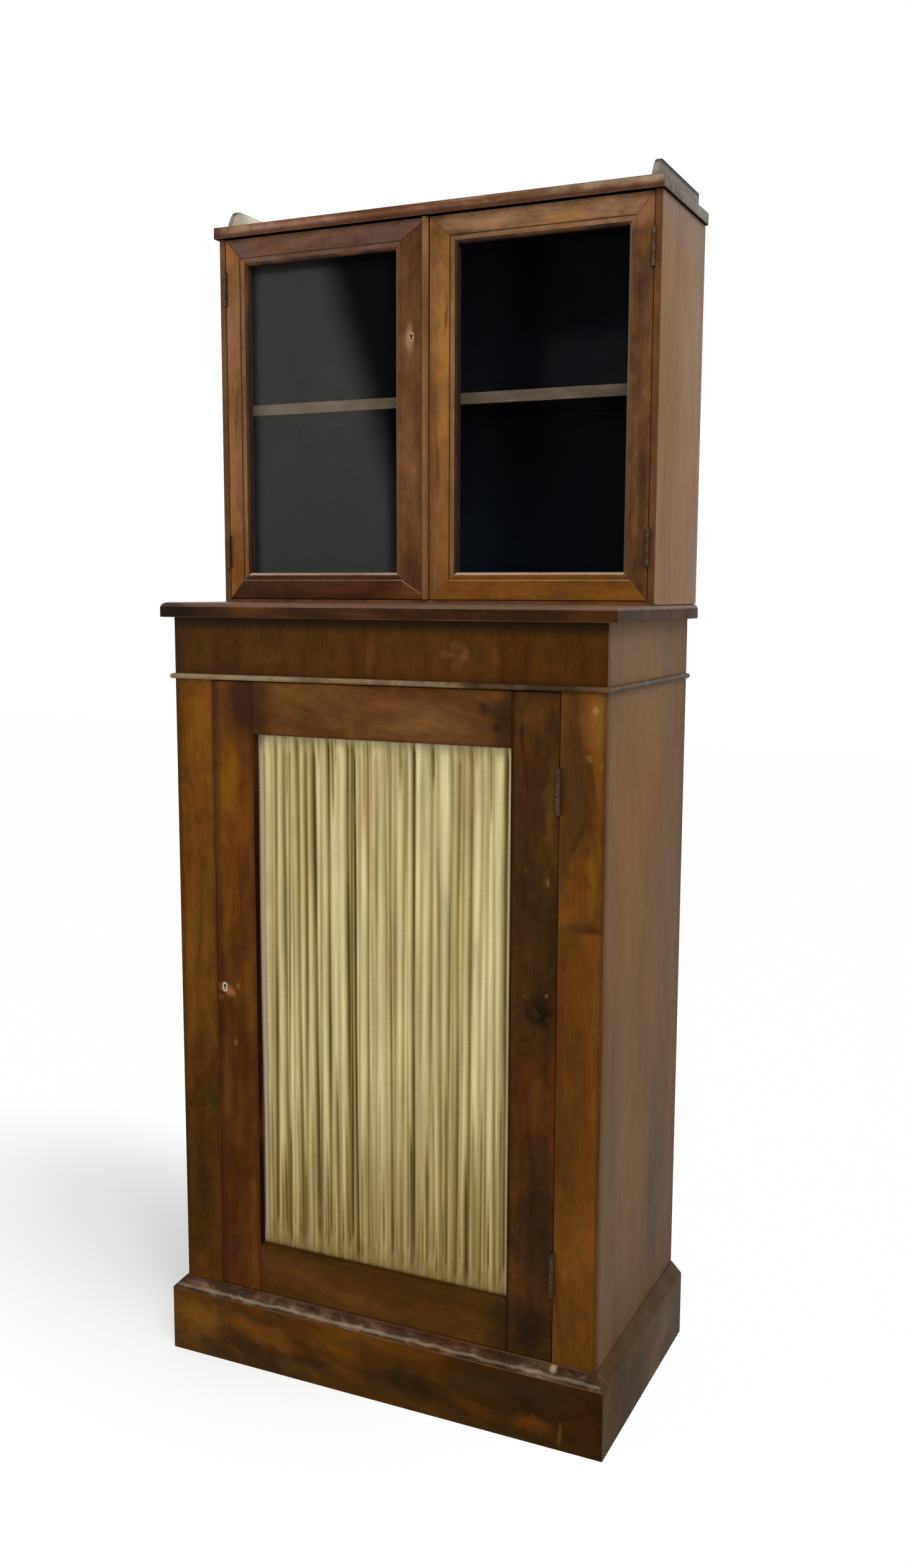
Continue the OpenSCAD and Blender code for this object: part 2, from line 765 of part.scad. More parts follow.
module edge_bolt_hole(z, height) {
  x = right_x[0] + edge_plate[0];
  between([x - loose, edge_y - edge_bar[1] / 2 - loose, z],
          [x + edge_bar[0] + loose, edge_y + edge_bar[1] / 2 + loose, z + height]);
}

module upper_bottom_board() {
  color(rosewood) difference() {
    union() {
      between([-up_in, up_front, top_z], [up_in, up_back, top_z + up_step]);
      between([-up_in, up_back, top_z], [up_in, back_y - up_back_t, top_z + up_bottom_t]);
    }
    edge_bolt_hole(top_z - over, up_step + 2 * over);
  }
}

module upper_top_board() {
  color(rosewood) difference() {
    between([-up_w / 2 - up_top_side, up_front - up_top_front, up_top_z],
            [up_w / 2 + up_top_side, back_y, up_top_z + up_top_t]);
    edge_bolt_hole(up_top_z - over, edge_throw + over);
  }
}

module upper_back_board() {
  color(dark_inside) between([-up_in - up_housing, back_y - up_back_t, top_z],
                             [up_in + up_housing, back_y, up_top_z]);
}

module upper_shelf() {
  color(rosewood_side) between([-up_in, shelf_y, top_z + up_shelf_z],
                               [up_in, back_y - up_back_t, top_z + up_shelf_z + up_shelf_t]);
}

module gallery_side(side) {
  length = back_y - gallery_y;
  rake = [for (a = [90:-15:0]) [gallery_rake * pow(1 - cos(a), 0.7), gallery_h * sin(a)]];
  color(rosewood_side) mirrored_x(side)
    translate([gallery_x - gallery_t, gallery_y, up_top_z + up_top_t])
      along_x(gallery_t) polygon(concat([[length, 0], [length, gallery_h]], rake));
}

module gallery_back() {
  color(rosewood_side) between([gallery_t - gallery_x, back_y - gallery_t, up_top_z + up_top_t],
                               [gallery_x - gallery_t, back_y, up_top_z + up_top_t + gallery_h]);
}

// Upper doors: mitred members. X runs along a member, Y into the door and Z in from its outer edge.

glass_y = ovolo_d + glass_lip;
moulding_w = ovolo_w + quirk;

// The ovolo: a quarter of an ellipse from the quirk down to the sight edge
ovolo_y = quirk - ovolo_sink;
function ovolo(w) = [for (a = [0:18:90])
  [ovolo_y + (ovolo_d - ovolo_y) * (1 - cos(a)), w - ovolo_w + ovolo_w * sin(a)]];

// A member of width w whose neighbours are ends[0] and ends[1] wide: the mitre crosses the moulding
// at 45 degrees and then runs to the outer corner
module member(length, w, ends) {
  face_in = w - moulding_w;
  intersection() {
    translate([0, frame_t + over, 0]) rotate([90, 0, 0]) linear_extrude(frame_t + 2 * over)
      polygon([[0, 0], [length, 0], [length - ends[1] + moulding_w, face_in], [length - ends[1], w],
               [ends[0], w], [ends[0] - moulding_w, face_in]]);
    along_x(length) polygon(concat([[0, 0], [0, face_in], [quirk, face_in], [quirk, face_in + quirk]],
      ovolo(w), [[glass_y, w], [glass_y, w - glass_rebate], [frame_t, w - glass_rebate],
                 [frame_t, 0]]));
  }
}

module bottom_member(xs, stiles) {
  translate([xs[0], up_front, up_door_z0]) member(xs[1] - xs[0], frame_w, stiles);
}

module top_member(xs, stiles) {
  translate([xs[0], up_front, up_door_z1]) mirror([0, 0, 1])
    member(xs[1] - xs[0], frame_w, stiles);
}

module left_member(xs, stiles) {
  translate([xs[0], up_front, up_door_z0]) mirror([1, 0, -1])
    member(up_door_z1 - up_door_z0, stiles[0], [frame_w, frame_w]);
}

module right_member(xs, stiles) {
  translate([xs[1], up_front, up_door_z0]) mirror([1, 0, 0]) mirror([1, 0, -1])
    member(up_door_z1 - up_door_z0, stiles[1], [frame_w, frame_w]);
}

module glass(xs, stiles) {
  inset = sheet_gap - glass_rebate;
  y = up_front + glass_y + slip;
  color(pane) between([xs[0] + stiles[0] + inset, y, up_door_z0 + frame_w + inset],
                      [xs[1] - stiles[1] - inset, y + glass_t, up_door_z1 - frame_w - inset]);
}

module glazing_beads(xs, stiles) {
  y = up_front + glass_y + 2 * slip + glass_t;
  strips([xs[0] + stiles[0] - glass_rebate, xs[1] - stiles[1] + glass_rebate],
         [y, min(y + glazing_t, up_front + frame_t)],
         [up_door_z0 + frame_w - glass_rebate, up_door_z1 - frame_w + glass_rebate],
         glass_rebate - bead_set);
}

module hinge_cuts(side) {
  at_up_hinges(side) mirror([1, 0, 0]) {
    leaf_recess(up_hinge_l, up_hinge_r, up_leaf_w, up_gap);
    screw_holes(up_hinge_l, up_hinge_r, up_leaf_w, up_gap, up_screws, up_screw_l);
  }
}

module left_door_top_rail() {
  color(rosewood) top_member(left_x, left_stiles);
}

module left_door_bottom_rail() {
  color(rosewood) bottom_member(left_x, left_stiles);
}

module left_door_outer_stile() {
  color(rosewood) difference() {
    left_member(left_x, left_stiles);
    hinge_cuts(-1);
  }
}

module left_door_meeting_stile() {
  color(rosewood) difference() {
    right_member(left_x, left_stiles);
    lock_pocket(left_x[1], -1, up_front + frame_t, up_lock_z, [up_lock_w, up_lock_t, up_lock_h]);
    keyhole(left_x[1] - up_key_in, up_lock_z, up_front - over, frame_t);
    translate([left_x[1] - up_key_in, up_front + plate_t - plate_proud, up_lock_z])
      plate_blank(plate_t + over, slip);
  }
}

// A low segment of a circle along the meeting edge
module meeting_bead() {
  r = (meet_w * meet_w / 4 + meet_out * meet_out) / (2 * meet_out);
  color(rosewood) translate([left_x[1] - meet_w / 2, up_front, up_door_z0])
    linear_extrude(up_door_z1 - up_door_z0) intersection() {
      translate([0, r - meet_out]) circle(r);
      translate([-meet_w / 2, -meet_out - over]) square([meet_w, meet_out + over]);
    }
}

module right_door_meeting_stile() {
  bolt_room = up_throw - tip_in - meet_gap + over;
  color(rosewood) difference() {
    left_member(right_x, right_stiles);
    translate([right_x[0], up_bolt_y, up_lock_z])
      between([-over, -up_bolt[1] / 2 - loose, -up_bolt[2] / 2 - loose],
              [bolt_room, up_bolt[1] / 2 + loose, up_bolt[2] / 2 + loose]);
    for (end = [0, 1]) edge_bolt_groove(end);
  }
}

// The right door's leading edge, with Z running in from its bottom end or from its top end
module at_door_end(end) {
  translate([right_x[0], 0, end == 0 ? up_door_z0 : up_door_z1]) mirror([0, 0, end]) children();
}

// The groove for a bolt and its plate, which also crosses the corner of the rail
module edge_bolt_groove(end) {
  at_door_end(end) translate([0, edge_y, 0]) {
    between([-over, -edge_plate[1] / 2 - slip, -over],
            [edge_plate[0], edge_plate[1] / 2 + slip, edge_plate[2] + slip]);
    between([-over, -edge_bar[1] / 2 - slip, -over],
            [edge_plate[0] + edge_bar[0] + slip, edge_bar[1] / 2 + slip, tip_in + edge_bolt_l + slip]);
  }
}

module right_door_top_rail() {
  color(rosewood) difference() {
    top_member(right_x, right_stiles);
    edge_bolt_groove(1);
  }
}

module right_door_bottom_rail() {
  color(rosewood) difference() {
    bottom_member(right_x, right_stiles);
    edge_bolt_groove(0);
  }
}

module right_door_outer_stile() {
  color(rosewood) difference() {
    right_member(right_x, right_stiles);
    hinge_cuts(1);
  }
}

module door_bolt_plates() {
  color(brass) for (end = [0, 1]) at_door_end(end) translate([0, edge_y, 0]) difference() {
    between([0, -edge_plate[1] / 2, 0], [edge_plate[0], edge_plate[1] / 2, edge_plate[2]]);
    between([-over, -edge_slot[0] / 2, (edge_bolt_l - edge_slot[1]) / 2],
            [edge_plate[0] + over, edge_slot[0] / 2, (edge_bolt_l + edge_slot[1]) / 2]);
  }
}

// A flat bar behind the plate, with a thumb catch in the plate's slot
module door_bolt(end) {
  catch = edge_slot[1] - 2 * edge_throw - 2 * catch_room;
  color(brass) at_door_end(end) translate([0, edge_y, 0]) {
    between([edge_plate[0] + slip / 2, -edge_bar[1] / 2, tip_in],
            [edge_plate[0] + edge_bar[0], edge_bar[1] / 2, tip_in + edge_bolt_l]);
    between([slip, loose - edge_slot[0] / 2, (edge_bolt_l - catch) / 2],
            [edge_plate[0] + slip, edge_slot[0] / 2 - loose, (edge_bolt_l + catch) / 2]);
  }
}

lower_side(-1);  // lower_left_side
lower_side(1);  // lower_right_side
lower_bottom_board();
lower_back_board();
left_face_stile();
right_face_stile();
frieze_board();
lower_top_board();
plinth_front();
plinth_return(-1);  // plinth_left_return
plinth_return(1);  // plinth_right_return
frieze_bead();
lower_shelves();
shelf_bearers();
lower_lock_keeper();
upper_side(-1);  // upper_left_side
upper_side(1);  // upper_right_side
upper_bottom_board();
upper_top_board();
upper_back_board();
upper_shelf();
gallery_side(-1);  // gallery_left
gallery_side(1);  // gallery_right
gallery_back();
hinge_frame_leaves();
hinge_pins();
carcass_hinge_screws();
lower_door_left_stile();
lower_door_right_stile();
lower_door_top_rail();
lower_door_bottom_rail();
silk_panel();
silk_board();
silk_beads();
lower_lock_case();
escutcheon(low_key_in - door_edge, low_key_z, front_y);  // lower_escutcheon
lower_door_hinge_leaves();
lower_door_screws();
lock_bolt(-door_edge, 1, low_bolt_y, low_key_z, low_bolt);  // lower_lock_bolt
left_door_outer_stile();
left_door_meeting_stile();
left_door_top_rail();
left_door_bottom_rail();
glass(left_x, left_stiles);  // left_glass
glazing_beads(left_x, left_stiles);  // left_glazing_beads
meeting_bead();
upper_lock_case();
escutcheon(left_x[1] - up_key_in, up_lock_z, up_front);  // upper_escutcheon
upper_door_hinge_leaves(-1);  // left_door_hinge_leaves
lock_bolt(left_x[1], -1, up_bolt_y, up_lock_z, up_bolt);  // upper_lock_bolt
right_door_meeting_stile();
right_door_outer_stile();
right_door_top_rail();
right_door_bottom_rail();
glass(right_x, right_stiles);  // right_glass
glazing_beads(right_x, right_stiles);  // right_glazing_beads
upper_door_hinge_leaves(1);  // right_door_hinge_leaves
door_bolt_plates();
door_bolt(1);  // top_door_bolt
door_bolt(0);  // bottom_door_bolt
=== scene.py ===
import json
import math
import random

import bmesh
import bpy
import numpy as np
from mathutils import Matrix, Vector, noise

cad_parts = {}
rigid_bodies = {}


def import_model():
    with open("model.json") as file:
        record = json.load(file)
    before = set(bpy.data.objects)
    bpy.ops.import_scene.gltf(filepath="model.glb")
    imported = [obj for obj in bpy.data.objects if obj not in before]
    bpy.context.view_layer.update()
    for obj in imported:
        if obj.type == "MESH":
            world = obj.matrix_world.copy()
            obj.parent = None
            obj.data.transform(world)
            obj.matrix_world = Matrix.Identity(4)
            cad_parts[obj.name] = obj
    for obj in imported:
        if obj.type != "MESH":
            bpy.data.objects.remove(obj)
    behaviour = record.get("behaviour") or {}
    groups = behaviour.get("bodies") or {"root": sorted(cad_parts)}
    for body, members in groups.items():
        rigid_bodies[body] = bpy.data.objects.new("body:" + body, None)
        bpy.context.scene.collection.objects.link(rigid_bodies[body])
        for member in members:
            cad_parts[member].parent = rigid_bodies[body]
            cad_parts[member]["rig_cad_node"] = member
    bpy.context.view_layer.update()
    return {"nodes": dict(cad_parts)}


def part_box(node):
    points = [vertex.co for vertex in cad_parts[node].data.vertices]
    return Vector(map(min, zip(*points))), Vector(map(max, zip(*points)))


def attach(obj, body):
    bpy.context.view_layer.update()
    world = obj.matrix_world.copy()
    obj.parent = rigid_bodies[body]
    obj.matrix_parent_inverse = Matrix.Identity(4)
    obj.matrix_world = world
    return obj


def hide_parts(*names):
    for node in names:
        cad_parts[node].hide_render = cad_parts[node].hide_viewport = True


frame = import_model()
nodes = frame["nodes"]
print("frame loaded:", len(nodes), "nodes")


# Camera, as the photograph was taken
cameraValues = {
    "place": (0.9385, -1.9470, 1.2036),
    "turn": (82.2593, -0.2157, 24.8670),  # degrees
    "lens": 32.54,
    "sensor": 36,  # of the photograph's long side
}
bpy.ops.object.camera_add(location=cameraValues["place"])
camera = bpy.context.object
camera.rotation_euler = [math.radians(a) for a in cameraValues["turn"]]
camera.data.lens = cameraValues["lens"]
camera.data.sensor_width = cameraValues["sensor"]
bpy.context.scene.camera = camera
bpy.context.scene.view_settings.view_transform = "Standard"


# Helpers for materials

def paint(red, green, blue):  # a colour as a picture shows it, 0 to 255, to Blender's own
    def curve(value):
        value /= 255
        return value / 12.92 if value <= 0.04045 else ((value + 0.055) / 1.055) ** 2.4
    return (curve(red), curve(green), curve(blue), 1)


def grey(level):
    return (level, level, level, 1)


def newMaterial(name):  # the nodes that are added next go into its tree
    global tree
    material = bpy.data.materials.new(name)
    material.use_nodes = True
    tree = material.node_tree
    return material, tree.nodes["Principled BSDF"]


def feed(node, inputs):  # an input is a value, or the socket to link
    for key, value in inputs.items():
        if isinstance(value, bpy.types.NodeSocket):
            tree.links.new(value, node.inputs[key])
        else:
            node.inputs[key].default_value = value


def addNode(kind, inputs=None, **settings):
    node = tree.nodes.new("ShaderNode" + kind)
    for key, value in settings.items():
        setattr(node, key, value)
    feed(node, inputs or {})
    return node


def sums(operation, first, second=0.0, third=0.0):
    inputs = {0: first, 1: second}
    if operation in ("MULTIPLY_ADD", "WRAP"):
        inputs[2] = third
    return addNode("Math", inputs, operation=operation).outputs[0]


def vectorSums(operation, first, second):
    place = "Scale" if operation == "SCALE" else 1
    return addNode("VectorMath", {0: first, place: second}, operation=operation).outputs[0]


def swayed(base, layer, gain, middle=0.5):  # the base, moved as the layer leaves its middle
    return sums("MULTIPLY_ADD", sums("SUBTRACT", layer, middle), gain, base)


def spread(value, low, high, toLow=0.0, toHigh=1.0, smooth=False):
    inputs = {"Value": value, "From Min": low, "From Max": high, "To Min": toLow, "To Max": toHigh}
    kind = "SMOOTHSTEP" if smooth else "LINEAR"
    return addNode("MapRange", inputs, interpolation_type=kind).outputs["Result"]


def stretched(vector, scale=(1, 1, 1), turn=(0, 0, 0), move=(0, 0, 0)):
    turn = [math.radians(a) for a in turn]
    inputs = {"Vector": vector, "Scale": scale, "Rotation": turn, "Location": move}
    return addNode("Mapping", inputs).outputs["Vector"]


def fromMiddle(vector, middle, size, turn):  # 0 in the middle of an ellipse, 1 on its edge
    turn = [math.radians(a) for a in turn]
    inputs = {"Vector": vector, "Location": middle, "Scale": size, "Rotation": turn}
    near = addNode("Mapping", inputs, vector_type="TEXTURE").outputs["Vector"]
    return addNode("VectorMath", {0: near}, operation="LENGTH").outputs["Value"]


def cloud(vector, scale, detail=3, rough=0.55, twist=0.0, along=0):  # along: squeezed on Z
    if along:
        vector = stretched(vector, (1, 1, along))
    inputs = {"Vector": vector, "Scale": scale, "Detail": detail, "Roughness": rough, "Distortion": twist}
    return addNode("TexNoise", inputs).outputs["Fac"]


def swirl(vector, scale, detail):  # a shift that wanders, -0.5 to 0.5 each way
    inputs = {"Vector": vector, "Scale": scale, "Detail": detail}
    shift = addNode("TexNoise", inputs).outputs["Color"]
    return vectorSums("SUBTRACT", shift, (0.5, 0.5, 0.5))


def blendColour(share, first, second, way="MIX"):
    inputs = {"Factor": share, 6: first, 7: second}
    return addNode("Mix", inputs, data_type="RGBA", blend_type=way).outputs[2]


def toneRamp(value, stops):
    ramp = addNode("ValToRGB", {"Fac": value})
    elements = ramp.color_ramp.elements
    while len(elements) < len(stops):
        elements.new(0.5)
    for element, (place, colour) in zip(elements, stops):
        element.position = place
        element.color = colour
    return ramp.outputs["Color"]


def bumped(height, strength, distance):
    inputs = {"Strength": strength, "Distance": distance, "Height": height}
    return addNode("Bump", inputs).outputs["Normal"]


# Wood

woodBasics = {
    "turn": 0,  # degrees from upright grain, seen from the front
    "move": (0, 0, 0),
    "leaf": 0,  # width of one leaf of book-matched veneer
    "leafStart": 0,
    "joins": (),  # heights at which another leaf of veneer begins
    "tones": ((50, 31, 14), (86, 53, 19), (122, 79, 30)),  # dark, mid and pale
    "vein": (28, 17, 9),
    "veins": 0.35,
    "veinCount": 5,
    "wander": 0.018,  # metres that the grain wanders
    "stretch": 0.10,
    "streakScale": 60,
    "streaks": 0.16,
    "bands": 0.26,  # broad streaks
    "clouds": 0.34,
    "cloudScale": 9,
    "mottle": 0.26,  # short blotches across the grain
    "glow": (140, 86, 24),  # golden sapwood patches
    "glows": 0.25,
    "reds": 0.35,  # reddish patches
    "driftX": (),  # (metres, tone) across the piece
    "driftZ": (),  # (metres, tone) up the piece
    "patches": (),  # (x, z, half width, half height, share, colour, and a turn if there is one)
    "patchAxis": 0,  # 1 where patches are placed along Y instead of X
    "shades": (),  # soft bands of colour, mostly painted shade along edges, gaps and recesses, some painted light: (axis, full here, gone here, share, colour)
    "seams": (),  # (width of one plank, where the first one ends)
    "film": 0,
    "filmColour": (140, 118, 94),
    "pores": 0.25,
    "rough": 0.38,
    "shine": 0.03,
    "bump": 0.12,
}
grain = {  # the same in every wood; scales are per metre
    "driftX": (-0.5, 0.5),  # metres that a drift ramp covers
    "driftZ": (0.0, 2.0),
    "nextLeaf": (0.31, 0.0, 0.47),  # metres to the leaf of veneer above a join
    "gain": 2.2,  # how strongly a layer moves the tone
    "stops": (0.12, 0.5, 0.88),  # where dark, mid and pale are
    "swing": 9,
    "mottle": 46,
    "glow": (12, 0.50, 0.70),  # scale, where it starts, where it is full
    "red": (10, 0.46, 0.66),
    "redTint": (1.18, 0.74, 0.80, 1),
    "relief": ((0.2, 0.62), (0.8, 1.30)),  # grain kept in a patch: tone, brightness
    "frayScale": 38,
    "fray": (0.006, 0.030),  # metres that a fine or a broad patch's edge frays
    "fine": 0.008,  # a patch this narrow is fine
    "patchFade": (0.3, 1.2),  # full inside the first, gone past the second
    "ring": 7,
    "veinEdge": 0.10,
    "veinShown": (10, 0.44, 0.66),
    "fibre": 520,
    "fibreTones": ((0.25, 0.82), (0.75, 1.15)),
    "pore": (1100, 0.60, 0.70),
    "poreDull": 0.12,
    "poreDeep": -0.7,
    "seam": (0.0025, 0.0005, 0.85),  # where its shade starts and is full, share
    "wear": 16,
    "wearDull": 0.30,
    "film": (0.40, 0.75, 0.35, 1.6),  # wear from and to, shares there
    "bumpHeight": 0.0006,
}


def greys(stops):
    return [(place, grey(level)) for place, level in stops]


def driftTone(value, axis, stops):
    low, high = grain["drift" + axis]
    ramp = toneRamp(spread(value, low, high),
                    greys([((metres - low) / (high - low), 0.5 + tone) for metres, tone in stops]))
    return sums("SUBTRACT", ramp, 0.5)


def grainPlace(look, place, split):  # where each point is in its leaf of veneer
    if look["leaf"]:
        across = sums("ADD", split.outputs["X"], look["leafStart"])
        across = sums("PINGPONG", across, look["leaf"])
        inputs = {0: across, 1: split.outputs["Y"], 2: split.outputs["Z"]}
        place = addNode("CombineXYZ", inputs).outputs[0]
    for height in look["joins"]:
        above = sums("GREATER_THAN", split.outputs["Z"], height)
        place = vectorSums("ADD", place, vectorSums("SCALE", grain["nextLeaf"], above))
    return stretched(place, turn=(0, look["turn"], 0), move=look["move"])


def addPatches(look, place, relief, colour):
    shift = swirl(place, grain["frayScale"], 3)
    fine, broad = [vectorSums("ADD", place, vectorSums("SCALE", shift, way)) for way in grain["fray"]]
    for across, up, wide, high, share, tint, *turn in look["patches"]:
        middle = [0, 0, up]
        size = [50, 50, high]  # endless along the third axis
        middle[look["patchAxis"]] = across
        size[look["patchAxis"]] = wide
        frayed = broad if min(wide, high) > grain["fine"] else fine
        near = fromMiddle(frayed, middle, size, (0, sum(turn), 0))
        patch = blendColour(0.8, paint(*tint), relief, "MULTIPLY")
        colour = blendColour(spread(near, *grain["patchFade"], share, 0.0, True), colour, patch)
    return colour


def seamShare(x, plank, first):  # dark lines between planks
    starts, full, share = grain["seam"]
    beside = sums("WRAP", sums("SUBTRACT", x, first), plank, 0.0)
    away = sums("ABSOLUTE", sums("SUBTRACT", beside, 0.5 * plank))
    return spread(away, 0.5 * plank - starts, 0.5 * plank - full, 0.0, share, True)


woods = {}


def addWood(name, basics=woodBasics, **changes):
    look = {**basics, **changes}
    material, shader = newMaterial(name)
    whole = addNode("TexCoord").outputs["Object"]
    split = addNode("SeparateXYZ", {0: whole})
    place = grainPlace(look, whole, split)
    swing = swirl(stretched(place, (1, 1, 0.3)), grain["swing"], 2)
    wavy = vectorSums("ADD", place, vectorSums("SCALE", swing, 2 * look["wander"]))
    drawn = stretched(wavy, (1, 1, look["stretch"]))

    layers = {
        "streaks": cloud(drawn, look["streakScale"], 6, 0.62),
        "bands": cloud(drawn, 0.35 * look["streakScale"], 3, 0.5),
        "clouds": cloud(wavy, look["cloudScale"], along=0.45),
        "mottle": cloud(wavy, grain["mottle"], 4, 0.6, 0.6, along=0.7),
    }
    tone = 0.5
    for key, layer in layers.items():
        tone = swayed(tone, layer, grain["gain"] * look[key])
    for axis in "XZ":
        if look["drift" + axis]:
            tone = sums("ADD", tone, driftTone(split.outputs[axis], axis, look["drift" + axis]))
    vein = paint(*look["vein"])
    colour = toneRamp(tone, [(stop, paint(*tint)) for stop, tint in zip(grain["stops"], look["tones"])])

    scale, low, high = grain["glow"]
    share = spread(cloud(wavy, scale, along=0.3), low, high, 0, look["glows"], True)
    colour = blendColour(share, colour, paint(*look["glow"]))
    scale, low, high = grain["red"]
    reddish = cloud(stretched(wavy, (1, 1, 0.3), move=(3, 1, 2)), scale)
    share = spread(reddish, low, high, 0, look["reds"], True)
    colour = blendColour(share, colour, grain["redTint"], "MULTIPLY")
    relief = toneRamp(tone, greys(grain["relief"]))
    if look["patches"]:
        colour = addPatches(look, whole, relief, colour)
    # shades: bands of painted shade, and of painted light where their colour is paler
    for axis, full, gone, share, tint in look["shades"]:
        band = spread(split.outputs[axis], full, gone, share, 0.0, True)
        colour = blendColour(band, colour, blendColour(0.6, paint(*tint), relief, "MULTIPLY"))

    rings = sums("MULTIPLY", cloud(wavy, grain["ring"], 2, 0.5, along=0.14), look["veinCount"])
    line = spread(sums("PINGPONG", rings, 0.5), 0.0, grain["veinEdge"], 1, 0, True)
    scale, low, high = grain["veinShown"]
    shown = spread(cloud(place, scale, 2, along=0.5), low, high)
    share = sums("MULTIPLY", sums("MULTIPLY", line, shown), look["veins"])
    colour = blendColour(share, colour, vein)
    fibre = cloud(wavy, grain["fibre"], 3, 0.6, along=0.02)
    colour = blendColour(1.0, colour, toneRamp(fibre, greys(grain["fibreTones"])), "MULTIPLY")
    scale, low, high = grain["pore"]
    pores = spread(cloud(place, scale, 1, along=0.05), low, high)
    colour = blendColour(sums("MULTIPLY", pores, look["pores"]), colour, vein)
    if look["seams"]:
        colour = blendColour(seamShare(split.outputs["X"], *look["seams"]), colour, vein)
    worn = cloud(place, grain["wear"], 5, 0.7, along=0.5)
    if look["film"]:
        low, high, least, most = grain["film"]
        share = spread(worn, low, high, least * look["film"], most * look["film"])
        colour = blendColour(share, colour, paint(*look["filmColour"]))

    dull = swayed(look["rough"], worn, grain["wearDull"])
    height = sums("MULTIPLY_ADD", pores, grain["poreDeep"], fibre)
    feed(shader, {
        "Base Color": colour,
        "Roughness": sums("MULTIPLY_ADD", pores, grain["poreDull"], dull),
        "Normal": bumped(height, look["bump"], grain["bumpHeight"]),
        "Specular IOR Level": look["shine"],
    })
    woods[name] = material


# paler and greyer than the front's wood: partly the sides' own colour, partly painted light from the
# brighter light on the sides
sideWood = dict(
    woodBasics, tones=((88, 66, 44), (110, 84, 58), (128, 98, 68)), vein=(70, 50, 34), veins=0.0,
    glow=(128, 92, 54), glows=0.3, reds=0.2, streaks=0.14, bands=0.16, clouds=0.3, cloudScale=6,
    mottle=0.1, rough=0.46, pores=0.15)
doorWood = dict(
    woodBasics, tones=((54, 34, 19), (92, 61, 34), (130, 90, 52)), glow=(146, 94, 42), mottle=0.3,
    streakScale=80)
pineWood = dict(
    woodBasics, tones=((120, 88, 56), (156, 120, 80), (184, 148, 104)), vein=(104, 72, 44), veins=0.5,
    veinCount=14, glow=(176, 134, 84), film=0.1, stretch=0.06, reds=0.1, rough=0.62, shine=0.2)

addWood(
    "faceLeftVeneer", move=(1.1, 0, 0.2), tones=((45, 26, 5), (82, 48, 6), (112, 67, 9)), clouds=0.22,
    driftZ=((0.12, -0.13), (0.42, -0.1), (0.52, -0.01), (0.6, 0.08), (1.07, 0.1)),
    patches=(
        (-0.3, 1.02, 0.022, 0.05, 0.6, (115, 68, 8)), (-0.3, 0.7, 0.03, 0.1, 0.6, (87, 52, 10)),
        (-0.312, 0.66, 0.016, 0.1, 0.5, (84, 56, 8)), (-0.293, 0.42, 0.013, 0.035, 0.7, (58, 47, 14)),
        (-0.315, 0.25, 0.03, 0.12, 0.5, (52, 36, 6)), (-0.3, 0.86, 0.02, 0.015, 0.4, (69, 40, 6))),
    shades=(("X", -0.277, -0.284, 0.6, (45, 23, 8)), ("X", -0.3405, -0.332, 0.5, (33, 18, 6))))
addWood(
    "faceRightVeneer", move=(0.5, 0, 0.9), joins=(0.748,),
    tones=((53, 32, 8), (88, 52, 11), (114, 71, 18)), veins=0.5,
    patches=(
        (0.332, 1.03, 0.03, 0.05, 0.6, (122, 80, 34)), (0.298, 0.95, 0.026, 0.11, 0.85, (69, 46, 22), -8),
        (0.286, 0.86, 0.014, 0.05, 0.85, (65, 43, 20), 12),
        (0.322, 0.955, 0.005, 0.045, 0.5, (46, 30, 9), -10),
        (0.304, 0.875, 0.005, 0.04, 0.5, (46, 29, 8), 22), (0.33, 0.83, 0.014, 0.07, 0.7, (118, 74, 12)),
        (0.315, 0.752, 0.04, 0.008, 0.7, (58, 34, 9)), (0.284, 0.62, 0.008, 0.13, 0.6, (84, 36, 10)),
        (0.314, 0.64, 0.03, 0.13, 0.8, (86, 50, 10)), (0.327, 1.048, 0.006, 0.006, 0.6, (150, 106, 50)),
        (0.318, 0.985, 0.008, 0.005, 0.5, (134, 94, 44), 40),
        (0.337, 0.975, 0.004, 0.008, 0.5, (132, 92, 42)), (0.312, 0.42, 0.03, 0.12, 0.6, (84, 51, 12)),
        (0.3, 0.2, 0.03, 0.06, 0.5, (74, 42, 11))),
    shades=(("X", 0.34, 0.3345, 0.5, (56, 34, 14)),))
addWood(
    "doorLeftVeneer", move=(0.9, 0, 0.1), tones=((46, 23, 5), (77, 41, 6), (110, 64, 10)),
    driftZ=((0.12, -0.1), (0.48, -0.08), (0.62, 0.0), (0.9, 0.08), (1.07, -0.1)),
    patches=(
        (-0.246, 0.93, 0.022, 0.06, 0.7, (105, 65, 8)), (-0.226, 0.85, 0.022, 0.04, 0.6, (109, 60, 11)),
        # the narrow pale patch at x -0.212, z 0.8 is a painted highlight
        (-0.212, 0.8, 0.005, 0.035, 0.4, (118, 72, 30)), (-0.222, 1.035, 0.04, 0.05, 0.9, (52, 27, 14)),
        (-0.268, 0.63, 0.007, 0.03, 0.7, (64, 30, 15)), (-0.242, 0.6, 0.02, 0.04, 0.5, (88, 53, 10)),
        (-0.25, 0.56, 0.007, 0.034, 0.45, (50, 34, 10), -5),
        (-0.246, 0.516, 0.005, 0.007, 0.6, (126, 90, 50), 20),
        (-0.262, 0.598, 0.015, 0.01, 0.9, (146, 92, 54), 35),
        (-0.24, 0.606, 0.005, 0.006, 0.6, (132, 84, 44)),
        (-0.273, 0.585, 0.007, 0.006, 0.8, (138, 76, 48)), (-0.216, 0.72, 0.012, 0.06, 0.5, (81, 38, 7))),
    shades=(("X", -0.272, -0.262, 0.55, (54, 26, 12)), ("X", -0.207, -0.216, 0.5, (52, 27, 12))))
